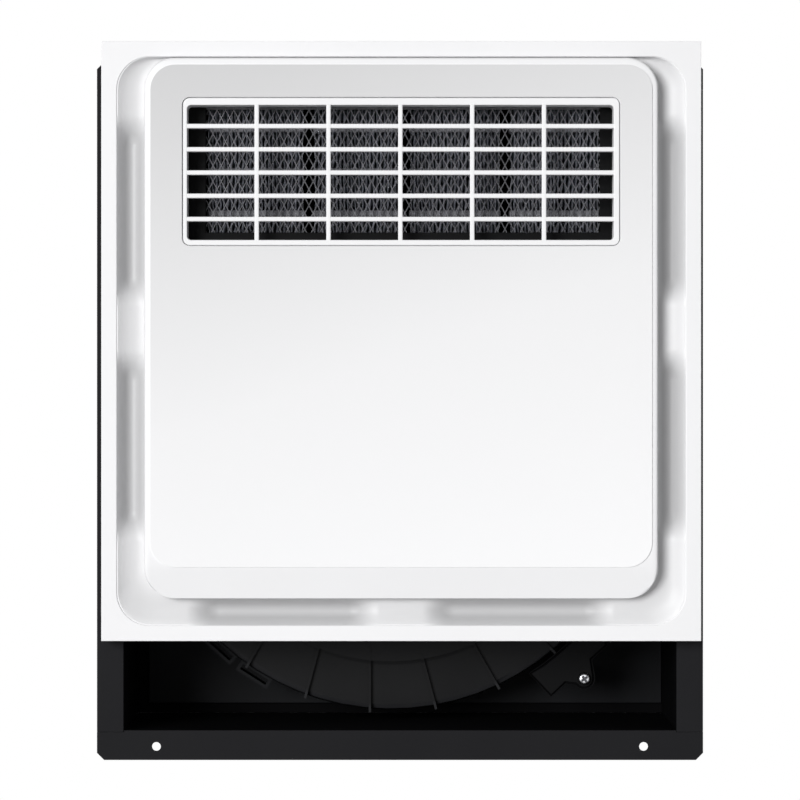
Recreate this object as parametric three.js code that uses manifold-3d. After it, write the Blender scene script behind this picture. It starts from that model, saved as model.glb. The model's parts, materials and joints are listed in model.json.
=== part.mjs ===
// Ceiling fan heater for a bathroom, drawn upright with its panel facing -Y.
// Lengths are in millimetres, +X to the right, +Z up. Fitted in a ceiling, -Y points down.
import * as THREE from 'three';
import { mergeVertices } from 'three/addons/utils/BufferGeometryUtils.js';
import Module from 'manifold-3d';

const wasm = await Module();
wasm.setup();

// General fits
const gap = 0.3;
const overrun = 1;

// Housing of folded sheet
const flangeWidth = 305.4;
const flangeHeight = 351.7;
const sideFlangeWidth = 13.4;
const endFlangeHeight = 14.9;
const seamDropHeight = 0.9;
const housingDepth = 103.8;
const sheetThickness = 1;
const cornerCutLength = 3.6;
const fixingHoleRadius = 2.25;
const fixingHoleInset = 29.95;
const fixingHoleEdgeDistance = 6.8;
const tabHeight = 16;
const tabSetback = 30;
const tabLength = 40;

// Panel frame
const panelSideInset = 2.7;
const panelHeight = 300;
const panelSideShift = 0.6;
const panelTopCover = 24.05;
const rimDepth = 12;
const panelStandOff = 2;
const rimWall = 2;
const rimCornerRadius = 0.8;
const borderWidth = 7.8;
const recessRadius = 16.5;
const recessWall = 1.5;
const sideChannelWidth = 13.9;
const bottomChannelWidth = 13.7;
const topChannelWidth = 0.7;
const seatRadius = 15.5;
const channelDepth = 5;
const seatDepth = 3.5;
const ledgeWidth = 5;
const ledgeBackDepth = 7;
const pocketDepth = 10;
const pocketSideMargin = 2.65;
const pocketLength = 97;
const pocketSpacing = 21;
const pocketEndFlat = 0.3;
const pocketWall = 1.8;
const intakeSlotLength = 12;
const intakeSlotHeight = 2.4;
const intakeSlotPitch = 15;
const clipPadLength = 16;
const clipPadWidth = 12;

// Cover plate
const plateRise = 6;
const plateWall = 2;
const sideBevelWidth = 3;
const chinHeight = 15.5;
const topBevelHeight = 3.5;
const faceRadius = 12.7;
const bevelDepth = 4.4;

// Outlet grille
const grilleSideInset = 41.25;
const grilleHeight = 73.8;
const grilleTopGap = 4.45;
const grilleSink = 0.4;
const grilleBorderSide = 2.4;
const grilleBorderEnd = 3.1;
const grilleCorner = 3.2;
const barWidth = 2.3;
const barDepth = 5;
const barColumns = 6;
const barRows = 6;
const collarDepth = 13.5;
const grilleLip = 3;
const grilleLipThickness = 2;
const windowGap = 0.5;

// Panel spring clips
const clipThickness = 0.8;
const clipWidth = 14;
const clipEndRoom = 10;
const clipSlantStart = 6;
const clipSlantLength = 10;
const clipTipLength = 6;
const clipTipDraw = 4;
const clipBottomInset = 49;
const clipBoxGap = 19;

// Screws: a small one for sheetThickness and clips, a large one for the motor and covers
const smallShank = 1.4;
const smallHead = 2.8;
const smallHeadHeight = 1.8;
const smallLength = 2.6;
const largeShank = 1.6;
const largeHead = 3.1;
const largeHeadHeight = 2.1;
const largeLength = 7;

// Scroll base and cover
const baseThickness = 2.5;
const baseFootGap = 5.4;
const baseLeftGap = 5.8;
const scrollCentreX = -4.6;
const scrollSideGap = 4.6;
const scrollBottomGap = 5.9;
const scrollHeight = 49.7;
const scrollWall = 2;
const scrollFront = 2.5;
const scrollEdgeRadius = 3.2;
const scrollBandWidth = 25.3;
const stepRise = 1.5;
const ribWidth = 1.2;
const ribRise = 1.8;
const ribOverhang = 1.4;
const ribInset = 3.8;
const ribOffset = 11;
const longRibInset = 30;
const chamberSideMargin = 3.7;
const chamberTopGap = 2;
const chamberShoulderRise = 4.5;
const chamberSlantRise = 54;
const tongueClearance = 9;
const tongueRootClearance = 17.9;
const tongueShelfDrop = 7.5;
const tongueTipDrop = 5.4;
const lugWidth = 6;
const lugLength = 19;
const lugWindowWidth = 3;
const lugWindowLength = 15.6;
const lugDepth = 14;
const lugSink = 10;

// Blower
const impellerX = 10;
const impellerRise = 9.1;
const scrollPassage = 32.1;
const bladeLength = 16;
const bladeThickness = 1.1;
const impellerFrontGap = 5;
const impellerBackRoom = 11.7;
const impellerPlate = 2;
const frontRingWidth = 14;
const frontRingDepth = 2.5;
const domeMotorGap = 6;
const domeFlare = 5;
const domeSet = 7;
const domeWall = 2.5;
const hubRadius = 11;
const hubSet = 2;
const hubTail = 1;
const inletOverlap = 28;
const inletLip = 2.5;
const inletDepth = 5.5;
const shaftRadius = 4;
const nutHeight = 3.5;
const nutRadius = 7.5;
const motorRadius = 40;
const motorFrontGap = 1.5;
const motorFlange = 2.7;
const motorFlangeWidth = 4;
const earReach = 12;
const earRadius = 7;
const padHeight = 1.7;
const padRadius = 5.5;

// Outlet duct and heater
const ductSideInset = 0.75;
const ductOverHeight = 1.1;
const ductWall = 1;
const ductTabWidth = 12;
const ductTabHeight = 11;
const ductTabInset = 40;
const heaterSink = 1.5;
const heaterFrameDepth = 24;
const heaterLip = 2.5;
const heaterSideMargin = 9;
const heaterEndMargin = 6.5;
const heaterShift = 1.5;
const heaterRebate = 2;
const meshThickness = 0.8;
const meshStrand = 0.9;
const meshRim = 1.6;
const meshPitchX = 18.6;
const meshPitchZ = 24;
const elementDepth = 15;
const elementSet = 2.4;
const elementGap = 3;
const elementCount = 4;
const tubeHeight = 3.2;
const tubePitch = 21.2;
const finThickness = 0.7;
const finPitch = 9.6;
const finInset = 1;
const cutoutRadius = 7;
const cutoutHeight = 5;
const cutoutPlace = 28;

// Wiring parts
const wiringPlate = 2;
const wiringScrewReach = 21.2;
const wiringBossRadius = 4.6;
const wiringLobeRadius = 5.7;
const boxSideGap = 3;
const boxDepth = 60;
const boxHeight = 66;
const boxFront = 14;
const boxTopGap = 5;
const boxWall = 1.8;
const lidThickness = 2;
const blockSideGap = 3.2;
const blockDepth = 12;
const blockHeight = 40;
const blockSlot = 3;
const glandRadius = 7.5;
const glandBore = 4.5;
const glandFlangeWidth = 2.5;
const glandFlangeDepth = 3;
const glandNose = 8.4;
const glandTail = 7;
const glandNutDepth = 3;
const glandNutWall = 0.86;
const glandPlace = 26;
const capacitorSideGap = 2.7;
const capacitorLength = 48;
const capacitorDepthPlace = 56;
const capacitorTopGap = 18.8;
const clampWall = 1;
const clampHeight = 10;
const clampFootLength = 36;

// Mesh fineness
const cornerSteps = 5;
const roundSides = 32;
const screwSides = 8;
const bladeCount = 30;

// Angles
const tongueAngle = Math.PI * 0.29;
const ribAngle = 15;
const wiringAngle = -0.8494;
const wiringHeadAngle = -0.7;
const wiringFootAngle = -1;
const lobeStartAngle = -2.5;
const lobeEndAngle = 0.2;
const voluteEndAngle = Math.PI * 1.99;
const bladeSweepAngle = 0.14;

// Sizes and places worked out from those above
const mouthHalf = flangeWidth / 2 - sideFlangeWidth;
const mouthBottom = endFlangeHeight;
const mouthTop = flangeHeight - endFlangeHeight;
const backInner = housingDepth - sheetThickness;
const baseFront = backInner - gap - baseThickness;
const scrollFrontY = baseFront - gap - scrollHeight;
const clipReach = scrollFrontY - clipEndRoom;
const panelWidth = flangeWidth - panelSideInset * 2;
const seatSideInset = borderWidth + sideChannelWidth;
const seatBottomInset = borderWidth + bottomChannelWidth;
const seatTopInset = borderWidth + topChannelWidth;
const faceSideInset = seatSideInset + sideBevelWidth;
const faceBottomInset = seatBottomInset + chinHeight;
const faceTopInset = seatTopInset + topBevelHeight;
const pocketWidth = sideChannelWidth - pocketSideMargin * 2;
const pocketCornerRadius = pocketWidth / 2 - pocketEndFlat;
const panelX = panelSideShift;
const panelTop = mouthTop + panelTopCover;
const panelZ = panelTop - panelHeight / 2;
const rimBackY = -panelStandOff;
const panelFrontY = rimBackY - rimDepth;
const plateFrontY = panelFrontY - plateRise;
const ledgeBackY = panelFrontY + ledgeBackDepth;
const grilleWidth = panelWidth - grilleSideInset * 2;
const grilleZ = mouthTop - grilleTopGap - grilleHeight / 2;
const grilleFrontY = plateFrontY + grilleSink;
const collarBackY = grilleFrontY + collarDepth;
const ductFrontY = collarBackY + gap;
const ductWidth = grilleWidth - ductSideInset * 2;
const ductHeight = grilleHeight + ductOverHeight * 2;
const ductBottom = grilleZ - ductHeight / 2;
const heaterWindowWidth = ductWidth - heaterSideMargin * 2;
const heaterWindowHeight = ductHeight - heaterEndMargin * 2;
const chamberHalfWidth = ductWidth / 2 + chamberSideMargin;
const tongueShelf = ductBottom - tongueShelfDrop;
const scrollRadius = scrollFit();
const scrollCentreZ = mouthBottom + scrollBottomGap + scrollRadius;
const stepRadius = scrollRadius - scrollBandWidth;
const impellerRadius = scrollRadius - scrollPassage;
const impellerZ = scrollCentreZ + impellerRise;
const bladeInnerRadius = impellerRadius - bladeLength;
const inletRadius = impellerRadius - inletOverlap;
const wiringScrewX = scrollCentreX + (scrollRadius + wiringScrewReach) * Math.cos(wiringAngle);
const wiringScrewZ = scrollCentreZ + (scrollRadius + wiringScrewReach) * Math.sin(wiringAngle);
const domeRadius = motorRadius + domeMotorGap;
const domeFootRadius = domeRadius + domeFlare;
const earCircle = motorRadius + earReach;
const boxWidth = mouthHalf - gap * 2 - chamberHalfWidth - boxSideGap;
const blockWidth = boxWidth - (boxWall + blockSideGap) * 2;
const glandFlange = glandRadius + glandFlangeWidth;
const glandNutRadius = (glandRadius + gap + glandNutWall) / Math.cos(Math.PI / 6);
const capacitorRadius = (mouthHalf - chamberHalfWidth - capacitorSideGap) / 2 - gap * 1.5 - clampWall;
const ductBackY = scrollFrontY - gap;
const impellerFrontY = scrollFrontY + impellerFrontGap;
const impellerBackY = scrollFrontY + scrollHeight - impellerBackRoom;
const hubFrontY = impellerFrontY + hubSet;
const domeFrontY = impellerFrontY + domeSet;
const hubBackY = domeFrontY + domeWall + hubTail;
const motorFrontY = hubBackY + motorFrontGap;
const motorBackY = baseFront - gap - padHeight - gap;
const wiringBackY = scrollFrontY;
const wiringFrontY = wiringBackY - wiringPlate;

// The scroll is as large as the housing's width and the height below the duct allow
function scrollFit() {
  const byWidth = mouthHalf + scrollCentreX - scrollSideGap;
  const lean = Math.sin(tongueAngle);
  const room = tongueShelf - tongueTipDrop - mouthBottom - scrollBottomGap - impellerRise;
  const byHeight = (room + (scrollPassage - tongueClearance) * lean) / (1 + lean);
  return Math.min(byWidth, byHeight);
}

// Solids from three.js geometry, and back

function facingOut(geometry) {
  const p = geometry.attributes.position;
  const index = geometry.index.array;
  const a = new THREE.Vector3();
  const b = new THREE.Vector3();
  const c = new THREE.Vector3();
  let volume = 0;
  for (let i = 0; i < index.length; i += 3) {
    a.fromBufferAttribute(p, index[i]);
    b.fromBufferAttribute(p, index[i + 1]);
    c.fromBufferAttribute(p, index[i + 2]);
    volume += a.dot(b.cross(c));
  }
  if (volume < 0) {
    for (let i = 0; i < index.length; i += 3) {
      [index[i], index[i + 1]] = [index[i + 1], index[i]];
    }
  }
  return geometry;
}

function solidOf(geometry) {
  geometry.deleteAttribute('normal');
  geometry.deleteAttribute('uv');
  const welded = facingOut(mergeVertices(geometry));
  return new wasm.Manifold(new wasm.Mesh({
    numProp: 3,
    vertProperties: new Float32Array(welded.attributes.position.array),
    triVerts: new Uint32Array(welded.index.array),
  }));
}

function geometryOf(solid) {
  const mesh = solid.getMesh();
  const geometry = new THREE.BufferGeometry();
  geometry.setAttribute('position', new THREE.BufferAttribute(mesh.vertProperties, 3));
  geometry.setIndex(new THREE.BufferAttribute(mesh.triVerts, 1));
  geometry.computeVertexNormals();
  return geometry;
}

function join(...solids) {
  return solids.reduce((whole, solid) => whole.add(solid));
}

function cut(whole, ...solids) {
  return solids.reduce((rest, solid) => rest.subtract(solid), whole);
}

function box(x0, x1, y0, y1, z0, z1) {
  const geometry = new THREE.BoxGeometry(x1 - x0, y1 - y0, z1 - z0);
  geometry.translate((x0 + x1) / 2, (y0 + y1) / 2, (z0 + z1) / 2);
  return solidOf(geometry);
}

function rodY(x, z, radius, y0, y1, sides = roundSides) {
  const geometry = new THREE.CylinderGeometry(radius, radius, y1 - y0, sides);
  geometry.translate(x, (y0 + y1) / 2, z);
  return solidOf(geometry);
}

function rodX(y, z, radius, x0, x1, sides = roundSides) {
  const geometry = new THREE.CylinderGeometry(radius, radius, x1 - x0, sides);
  geometry.rotateZ(Math.PI / 2);
  geometry.translate((x0 + x1) / 2, y, z);
  return solidOf(geometry);
}

// A flat outline in X and Z, drawn out along Y from y0 to y1
function prismY(loop, y0, y1, holes = []) {
  const shape = new THREE.Shape(loop);
  shape.holes = holes.map((hole) => new THREE.Path(hole));
  const geometry = new THREE.ExtrudeGeometry(shape, { depth: y1 - y0, bevelEnabled: false });
  geometry.rotateX(Math.PI / 2);
  geometry.translate(0, y1, 0);
  return solidOf(geometry);
}

// A flat outline in X and Y, drawn out along Z from z0 to z1
function prismZ(loop, z0, z1) {
  const geometry = new THREE.ExtrudeGeometry(new THREE.Shape(loop), { depth: z1 - z0, bevelEnabled: false });
  geometry.translate(0, 0, z0);
  return solidOf(geometry);
}

// A closed profile of radius and Y, turned about the Y axis
function latheY(profile, sides = roundSides) {
  const points = [...profile, profile[0]].map(([r, y]) => new THREE.Vector2(r, y));
  return solidOf(new THREE.LatheGeometry(points, sides));
}

// Rings of equal count, each an outline in X and Z at its own Y, skinned one to the next.
// An open stack gets flat ends, a closed one joins its last ring to its first.
function loftY(rings, closed = false) {
  const count = rings[0].loop.length;
  const positions = [];
  const index = [];
  for (const ring of rings) {
    for (const point of ring.loop) positions.push(point.x, ring.y, point.y);
  }
  const spans = closed ? rings.length : rings.length - 1;
  for (let r = 0; r < spans; r += 1) {
    const here = r * count;
    const next = ((r + 1) % rings.length) * count;
    for (let i = 0; i < count; i += 1) {
      const j = (i + 1) % count;
      index.push(here + i, here + j, next + j, here + i, next + j, next + i);
    }
  }
  if (!closed) {
    const last = (rings.length - 1) * count;
    for (const [i, j, k] of THREE.ShapeUtils.triangulateShape(rings[0].loop, [])) {
      index.push(k, j, i);
    }
    for (const [i, j, k] of THREE.ShapeUtils.triangulateShape(rings[rings.length - 1].loop, [])) {
      index.push(last + i, last + j, last + k);
    }
  }
  const geometry = new THREE.BufferGeometry();
  geometry.setAttribute('position', new THREE.Float32BufferAttribute(positions, 3));
  geometry.setIndex(index);
  return solidOf(geometry);
}

function roundedLoop(left, right, bottom, top, radius) {
  const loop = [];
  const corners = [
    [right - radius, bottom + radius, -Math.PI / 2],
    [right - radius, top - radius, 0],
    [left + radius, top - radius, Math.PI / 2],
    [left + radius, bottom + radius, Math.PI],
  ];
  for (const [x, z, start] of corners) {
    for (let i = 0; i <= cornerSteps; i += 1) {
      const angle = start + (i / cornerSteps) * (Math.PI / 2);
      loop.push(new THREE.Vector2(x + radius * Math.cos(angle), z + radius * Math.sin(angle)));
    }
  }
  return loop;
}

// A counterclockwise outline drawn in by a distance, with mitred corners
function insetLoop(loop, distance) {
  return loop.map((point, i) => {
    const before = loop[(i + loop.length - 1) % loop.length];
    const after = loop[(i + 1) % loop.length];
    const come = point.clone().sub(before).normalize();
    const go = after.clone().sub(point).normalize();
    const inward = new THREE.Vector2(-come.y - go.y, come.x + go.x).normalize();
    const reach = distance / inward.dot(new THREE.Vector2(-go.y, go.x));
    return point.clone().addScaledVector(inward, reach);
  });
}

// A strip of even thickness along a path, as one outline
function stripLoop(path, thickness) {
  const side = (sign) => path.map((point, i) => {
    const come = point.clone().sub(path[Math.max(i - 1, 0)]).normalize();
    const go = path[Math.min(i + 1, path.length - 1)].clone().sub(point).normalize();
    const along = come.clone().add(go).normalize();
    const normal = new THREE.Vector2(-along.y, along.x);
    const edge = go.lengthSq() > 0 ? go : come;
    const reach = thickness / 2 / normal.dot(new THREE.Vector2(-edge.y, edge.x));
    return point.clone().addScaledVector(normal, sign * reach);
  });
  return [...side(1), ...side(-1).reverse()];
}

// Colours and finishes
const finishes = {
  white: { color: 0xf4f4f5, roughness: 0.35, metalness: 0 },
  steelBlack: { color: 0x242427, roughness: 0.55, metalness: 0.3 },
  plasticBlack: { color: 0x1b1c1e, roughness: 0.6, metalness: 0 },
  zinc: { color: 0xb9bcc0, roughness: 0.4, metalness: 0.8 },
  aluminium: { color: 0xc4c7cc, roughness: 0.35, metalness: 0.9 },
  meshGrey: { color: 0x7d8086, roughness: 0.45, metalness: 0.7 },
  rubber: { color: 0x151515, roughness: 0.9, metalness: 0 },
  whitePlastic: { color: 0xdcdcd8, roughness: 0.5, metalness: 0 },
  brass: { color: 0xb5a05a, roughness: 0.35, metalness: 0.9 },
};

const heater = new THREE.Group();
heater.name = 'bathroom_fan_heater';
const housing = new THREE.Group();
const blower = new THREE.Group();
const panel = new THREE.Group();
blower.position.set(impellerX, 0, impellerZ);
heater.add(housing, blower, panel);

function place(group, name, solid, finish) {
  const mesh = new THREE.Mesh(geometryOf(solid), new THREE.MeshStandardMaterial(finishes[finish]));
  mesh.name = name;
  group.add(mesh);
  return mesh;
}

// Screws, made once along +Y with the head's seat at zero, then set in place

function screwSolid(shank, head, headHeight, length) {
  const profile = [
    [0, -length],
    [shank, -length],
    [shank, 0],
    [head, 0],
    [head, headHeight],
    [0, headHeight],
  ];
  const points = profile.map(([r, y]) => new THREE.Vector2(r, y));
  return solidOf(new THREE.LatheGeometry(points, screwSides));
}

const smallScrew = screwSolid(smallShank, smallHead, smallHeadHeight, smallLength);
const largeScrew = screwSolid(largeShank, largeHead, largeHeadHeight, largeLength);

function placeScrew(group, name, solid, at, toward) {
  const mesh = place(group, name, solid, 'zinc');
  mesh.position.copy(at);
  mesh.quaternion.setFromUnitVectors(new THREE.Vector3(0, 1, 0), toward);
  return mesh;
}

const front = new THREE.Vector3(0, -1, 0);
const back = new THREE.Vector3(0, 1, 0);
const right = new THREE.Vector3(1, 0, 0);
const left = new THREE.Vector3(-1, 0, 0);

// Housing: one folded sheet for the back and sides, and two end plates

const tabScrewY = tabSetback + tabLength / 2;
const tabScrewZ = endFlangeHeight - sheetThickness + tabHeight / 2;
const glandY = boxFront + glandPlace;
const boxTop = mouthTop - boxTopGap;
const glandZ = boxTop - boxHeight / 2;

function housingBody() {
  const low = mouthBottom + gap;
  const high = mouthTop - gap;
  const seam = endFlangeHeight - seamDropHeight + gap;
  const outerHalf = mouthHalf + sheetThickness;
  const pieces = [box(-outerHalf, outerHalf, backInner, housingDepth, low, high)];
  for (const side of [-1, 1]) {
    const inner = side * mouthHalf;
    const outer = side * (mouthHalf + sheetThickness);
    const edge = (side * flangeWidth) / 2;
    pieces.push(box(Math.min(inner, outer), Math.max(inner, outer), 0, housingDepth, low, high));
    const [x0, x1] = [inner, edge].sort((a, b) => a - b);
    pieces.push(box(x0, x1, 0, sheetThickness, seam, flangeHeight - seam));
  }
  const reach = mouthHalf + sheetThickness + overrun;
  const holes = [tabScrewZ, flangeHeight - tabScrewZ].map((z) => (
    rodX(tabScrewY, z, smallShank + gap, -reach, reach, screwSides)));
  holes.push(rodX(glandY, glandZ, glandRadius + gap, mouthHalf - overrun, reach));
  return cut(join(...pieces), ...holes);
}

function flangeLoop() {
  const half = flangeWidth / 2;
  const high = endFlangeHeight - seamDropHeight;
  return [
    [-half + cornerCutLength, 0],
    [half - cornerCutLength, 0],
    [half, cornerCutLength],
    [half, high],
    [-half, high],
    [-half, cornerCutLength],
  ].map(([x, z]) => new THREE.Vector2(x, z));
}

// The lower end plate; the upper one is its mirror image
function endPlate() {
  const wallLow = endFlangeHeight - sheetThickness;
  const tabInner = mouthHalf + sheetThickness + gap;
  const tabOuter = tabInner + sheetThickness;
  const pieces = [
    prismY(flangeLoop(), 0, sheetThickness),
    box(-mouthHalf + gap, mouthHalf - gap, 0, sheetThickness, endFlangeHeight / 2, endFlangeHeight),
    box(-mouthHalf + gap, mouthHalf - gap, 0, housingDepth, wallLow, endFlangeHeight),
    box(-tabOuter, tabOuter, sheetThickness + gap, housingDepth, wallLow, endFlangeHeight),
  ];
  for (const side of [-1, 1]) {
    const x = [side * tabInner, side * tabOuter].sort((a, b) => a - b);
    pieces.push(box(x[0], x[1], tabSetback, tabSetback + tabLength, wallLow, wallLow + tabHeight));
  }
  const holeX = flangeWidth / 2 - fixingHoleInset;
  const holes = [-holeX, holeX].map((x) => (
    rodY(x, fixingHoleEdgeDistance, fixingHoleRadius, -overrun, sheetThickness + overrun, 16)));
  const reach = tabOuter + overrun;
  holes.push(rodX(tabScrewY, tabScrewZ, smallShank + gap, -reach, reach, screwSides));
  return cut(join(...pieces), ...holes);
}

function addHousing() {
  place(housing, 'housing_body', housingBody(), 'steelBlack');
  const lower = endPlate();
  const upper = lower.mirror([0, 0, 1]).translate([0, 0, flangeHeight]);
  place(housing, 'end_plate_bottom', lower, 'steelBlack');
  place(housing, 'end_plate_top', upper, 'steelBlack');
  const seat = mouthHalf + sheetThickness + gap + sheetThickness + gap;
  for (const [end, z] of [['bottom', tabScrewZ], ['top', flangeHeight - tabScrewZ]]) {
    const leftSeat = new THREE.Vector3(-seat, tabScrewY, z);
    const rightSeat = new THREE.Vector3(seat, tabScrewY, z);
    placeScrew(housing, `end_plate_screw_${end}_left`, smallScrew, leftSeat, left);
    placeScrew(housing, `end_plate_screw_${end}_right`, smallScrew, rightSeat, right);
  }
}

// Panel frame: a thin moulding swept round the panel, with a sunk channel and six intake pockets

function frameLoop(sideInset, bottomInset, topInset, radius) {
  const halfWidth = panelWidth / 2 - sideInset;
  const low = panelZ - panelHeight / 2 + bottomInset;
  const high = panelZ + panelHeight / 2 - topInset;
  return roundedLoop(panelX - halfWidth, panelX + halfWidth, low, high, radius);
}

function mix(a, b, share) {
  return a + (b - a) * share;
}

// How far across the channel each ring lies, beside its share of the channel's depth
const channelShares = [[0, 0], [0.07, 0.75], [0.22, 1], [0.8, 1]];

function channelRing([across, down]) {
  return {
    loop: frameLoop(
      mix(borderWidth, seatSideInset, across),
      mix(borderWidth, seatBottomInset, across),
      mix(borderWidth, seatTopInset, across),
      mix(recessRadius, seatRadius, across),
    ),
    y: panelFrontY + channelDepth * down,
  };
}

function frameRing(inset, radius, y) {
  return { loop: frameLoop(inset, inset, inset, radius), y };
}

function seatRing(extra, y) {
  const insets = [seatSideInset, seatBottomInset, seatTopInset].map((inset) => inset + extra);
  return { loop: frameLoop(...insets, seatRadius - extra), y };
}

const plateCentreZ = panelZ + (seatBottomInset - seatTopInset) / 2;

// Each pocket is a rounded slot in the channel's floor: its middle and its run along X or Z
function pocketPlaces() {
  const places = [];
  const step = (pocketSpacing + pocketLength) / 2;
  const across = panelWidth / 2 - mix(borderWidth, seatSideInset, 1 / 2);
  const low = panelZ - panelHeight / 2 + mix(borderWidth, seatBottomInset, 1 / 2);
  for (const sign of [-1, 1]) {
    for (const side of [-1, 1]) {
      places.push({ x: panelX + side * across, z: plateCentreZ + sign * step, upright: true, inward: -side });
    }
    places.push({ x: panelX + sign * step, z: low, upright: false, inward: 1 });
  }
  return places;
}

function pocketLoop(pocket, extra) {
  const run = pocketLength / 2 + extra;
  const half = pocketWidth / 2 + extra;
  const dx = pocket.upright ? half : run;
  const dz = pocket.upright ? run : half;
  return roundedLoop(pocket.x - dx, pocket.x + dx, pocket.z - dz, pocket.z + dz, pocketCornerRadius + extra);
}

function intakeSlots(pocket) {
  const floor = panelFrontY + pocketDepth;
  const count = Math.floor((pocketLength - pocketCornerRadius * 2) / intakeSlotPitch);
  const near = pocketWidth / 2 - overrun;
  const far = pocketWidth / 2 + pocketWall + overrun;
  const span = [near * pocket.inward, far * pocket.inward].sort((a, b) => a - b);
  const slots = [];
  for (let i = 0; i < count; i += 1) {
    const at = (i - (count - 1) / 2) * intakeSlotPitch;
    const run = [at - intakeSlotLength / 2, at + intakeSlotLength / 2];
    const [x0, x1] = pocket.upright ? span : run;
    const [z0, z1] = pocket.upright ? run : span;
    slots.push(box(x0, x1, floor - intakeSlotHeight, floor, z0, z1).translate([pocket.x, 0, pocket.z]));
  }
  return slots;
}

// The four places where a spring clip is screwed to the back of the ledge
function clipPlaces() {
  const places = [];
  const lowerZ = panelTop - panelHeight + clipBottomInset;
  const upperZ = boxTop - boxHeight - clipBoxGap - clipWidth / 2;
  for (const [row, z] of [['lower', lowerZ], ['upper', upperZ]]) {
    for (const [column, side] of [['left', -1], ['right', 1]]) {
      const edge = panelX + side * (panelWidth / 2 - seatSideInset);
      places.push({
        name: `${row}_${column}`,
        side,
        edge,
        x: edge - side * (clipPadLength / 2),
        z,
      });
    }
  }
  return places;
}

function panelFrame() {
  const ringWall = loftY([
    frameRing(0, rimCornerRadius, rimBackY),
    frameRing(0, rimCornerRadius, panelFrontY + rimCornerRadius),
    frameRing(rimCornerRadius, rimCornerRadius, panelFrontY),
    ...channelShares.map(channelRing),
    seatRing(0, panelFrontY + seatDepth),
    seatRing(ledgeWidth, panelFrontY + seatDepth),
    seatRing(ledgeWidth, ledgeBackY),
    frameRing(borderWidth - recessWall, recessRadius + recessWall, ledgeBackY),
    frameRing(borderWidth - recessWall, recessRadius + recessWall, panelFrontY + rimWall),
    frameRing(rimWall, rimCornerRadius, panelFrontY + rimWall),
    frameRing(rimWall, rimCornerRadius, rimBackY),
  ], true);
  const pockets = pocketPlaces();
  const floor = panelFrontY + pocketDepth;
  const shells = pockets.map((pocket) => (
    prismY(pocketLoop(pocket, pocketWall), ledgeBackY - overrun, floor + pocketWall)));
  const hollows = pockets.map((pocket) => prismY(pocketLoop(pocket, 0), panelFrontY + seatDepth, floor));
  const slots = pockets.flatMap(intakeSlots);
  const pads = clipPlaces().map((clip) => box(
    Math.min(clip.edge, clip.edge - clip.side * clipPadLength),
    Math.max(clip.edge, clip.edge - clip.side * clipPadLength),
    panelFrontY + seatDepth,
    ledgeBackY,
    clip.z - clipPadWidth / 2,
    clip.z + clipPadWidth / 2,
  ));
  const holeFront = ledgeBackY - smallLength - overrun;
  const holes = clipPlaces().map((clip) => (
    rodY(clip.x, clip.z, smallShank + gap, holeFront, ledgeBackY + overrun, screwSides)));
  return cut(join(ringWall, ...shells, ...pads), ...hollows, ...slots, ...holes);
}

// Cover plate: a shallow cap with a bevel at top and sides and a deep sloping chin below

function plateRing(extra, y) {
  const insets = [faceSideInset, faceBottomInset, faceTopInset].map((inset) => inset + extra);
  return { loop: frameLoop(...insets, faceRadius - extra), y };
}

function grilleLoop(extra, radius) {
  const halfWidth = grilleWidth / 2 + extra;
  const halfHeight = grilleHeight / 2 + extra;
  return roundedLoop(
    panelX - halfWidth,
    panelX + halfWidth,
    grilleZ - halfHeight,
    grilleZ + halfHeight,
    radius,
  );
}

function coverPlate() {
  const foot = panelFrontY + seatDepth - gap;
  const shoulder = plateFrontY + bevelDepth;
  const cap = loftY([
    plateRing(0, plateFrontY),
    seatRing(0, shoulder),
    seatRing(0, foot),
    seatRing(plateWall, foot),
    seatRing(plateWall, shoulder + plateWall / 2),
    plateRing(plateWall / 2, plateFrontY + plateWall),
  ]);
  const window = prismY(grilleLoop(windowGap, grilleCorner), plateFrontY - overrun, foot);
  return cut(cap, window);
}

// Outlet grille: a rim, a grid of bars, a collar back to the duct and a lip behind the plate

function grilleBars() {
  const halfWidth = grilleWidth / 2 - grilleBorderSide / 2;
  const halfHeight = grilleHeight / 2 - grilleBorderEnd / 2;
  const pitchX = (grilleWidth - grilleBorderSide * 2 + barWidth) / barColumns;
  const pitchZ = (grilleHeight - grilleBorderEnd * 2 + barWidth) / barRows;
  const y1 = grilleFrontY + barDepth;
  const bars = [];
  for (let i = 1; i < barColumns; i += 1) {
    const x = panelX + (i - barColumns / 2) * pitchX;
    const span = [x - barWidth / 2, x + barWidth / 2];
    bars.push(box(span[0], span[1], grilleFrontY, y1, grilleZ - halfHeight, grilleZ + halfHeight));
  }
  for (let i = 1; i < barRows; i += 1) {
    const z = grilleZ + (i - barRows / 2) * pitchZ;
    const span = [z - barWidth / 2, z + barWidth / 2];
    bars.push(box(panelX - halfWidth, panelX + halfWidth, grilleFrontY, y1, span[0], span[1]));
  }
  return bars;
}

function collarLoop() {
  const halfWidth = grilleWidth / 2 - grilleBorderSide;
  const halfHeight = grilleHeight / 2 - grilleBorderEnd;
  const radius = grilleCorner - grilleBorderSide;
  return roundedLoop(
    panelX - halfWidth,
    panelX + halfWidth,
    grilleZ - halfHeight,
    grilleZ + halfHeight,
    radius,
  );
}

function outletGrille() {
  const lipFront = plateFrontY + plateWall + gap;
  const collar = prismY(grilleLoop(0, grilleCorner), grilleFrontY, collarBackY, [collarLoop()]);
  const lipBack = lipFront + grilleLipThickness;
  const lip = prismY(grilleLoop(grilleLip, grilleCorner), lipFront, lipBack, [collarLoop()]);
  return join(collar, lip, ...grilleBars());
}

// Spring clip: a foot under the screw, a leg back into the housing and a blade along its wall

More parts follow.
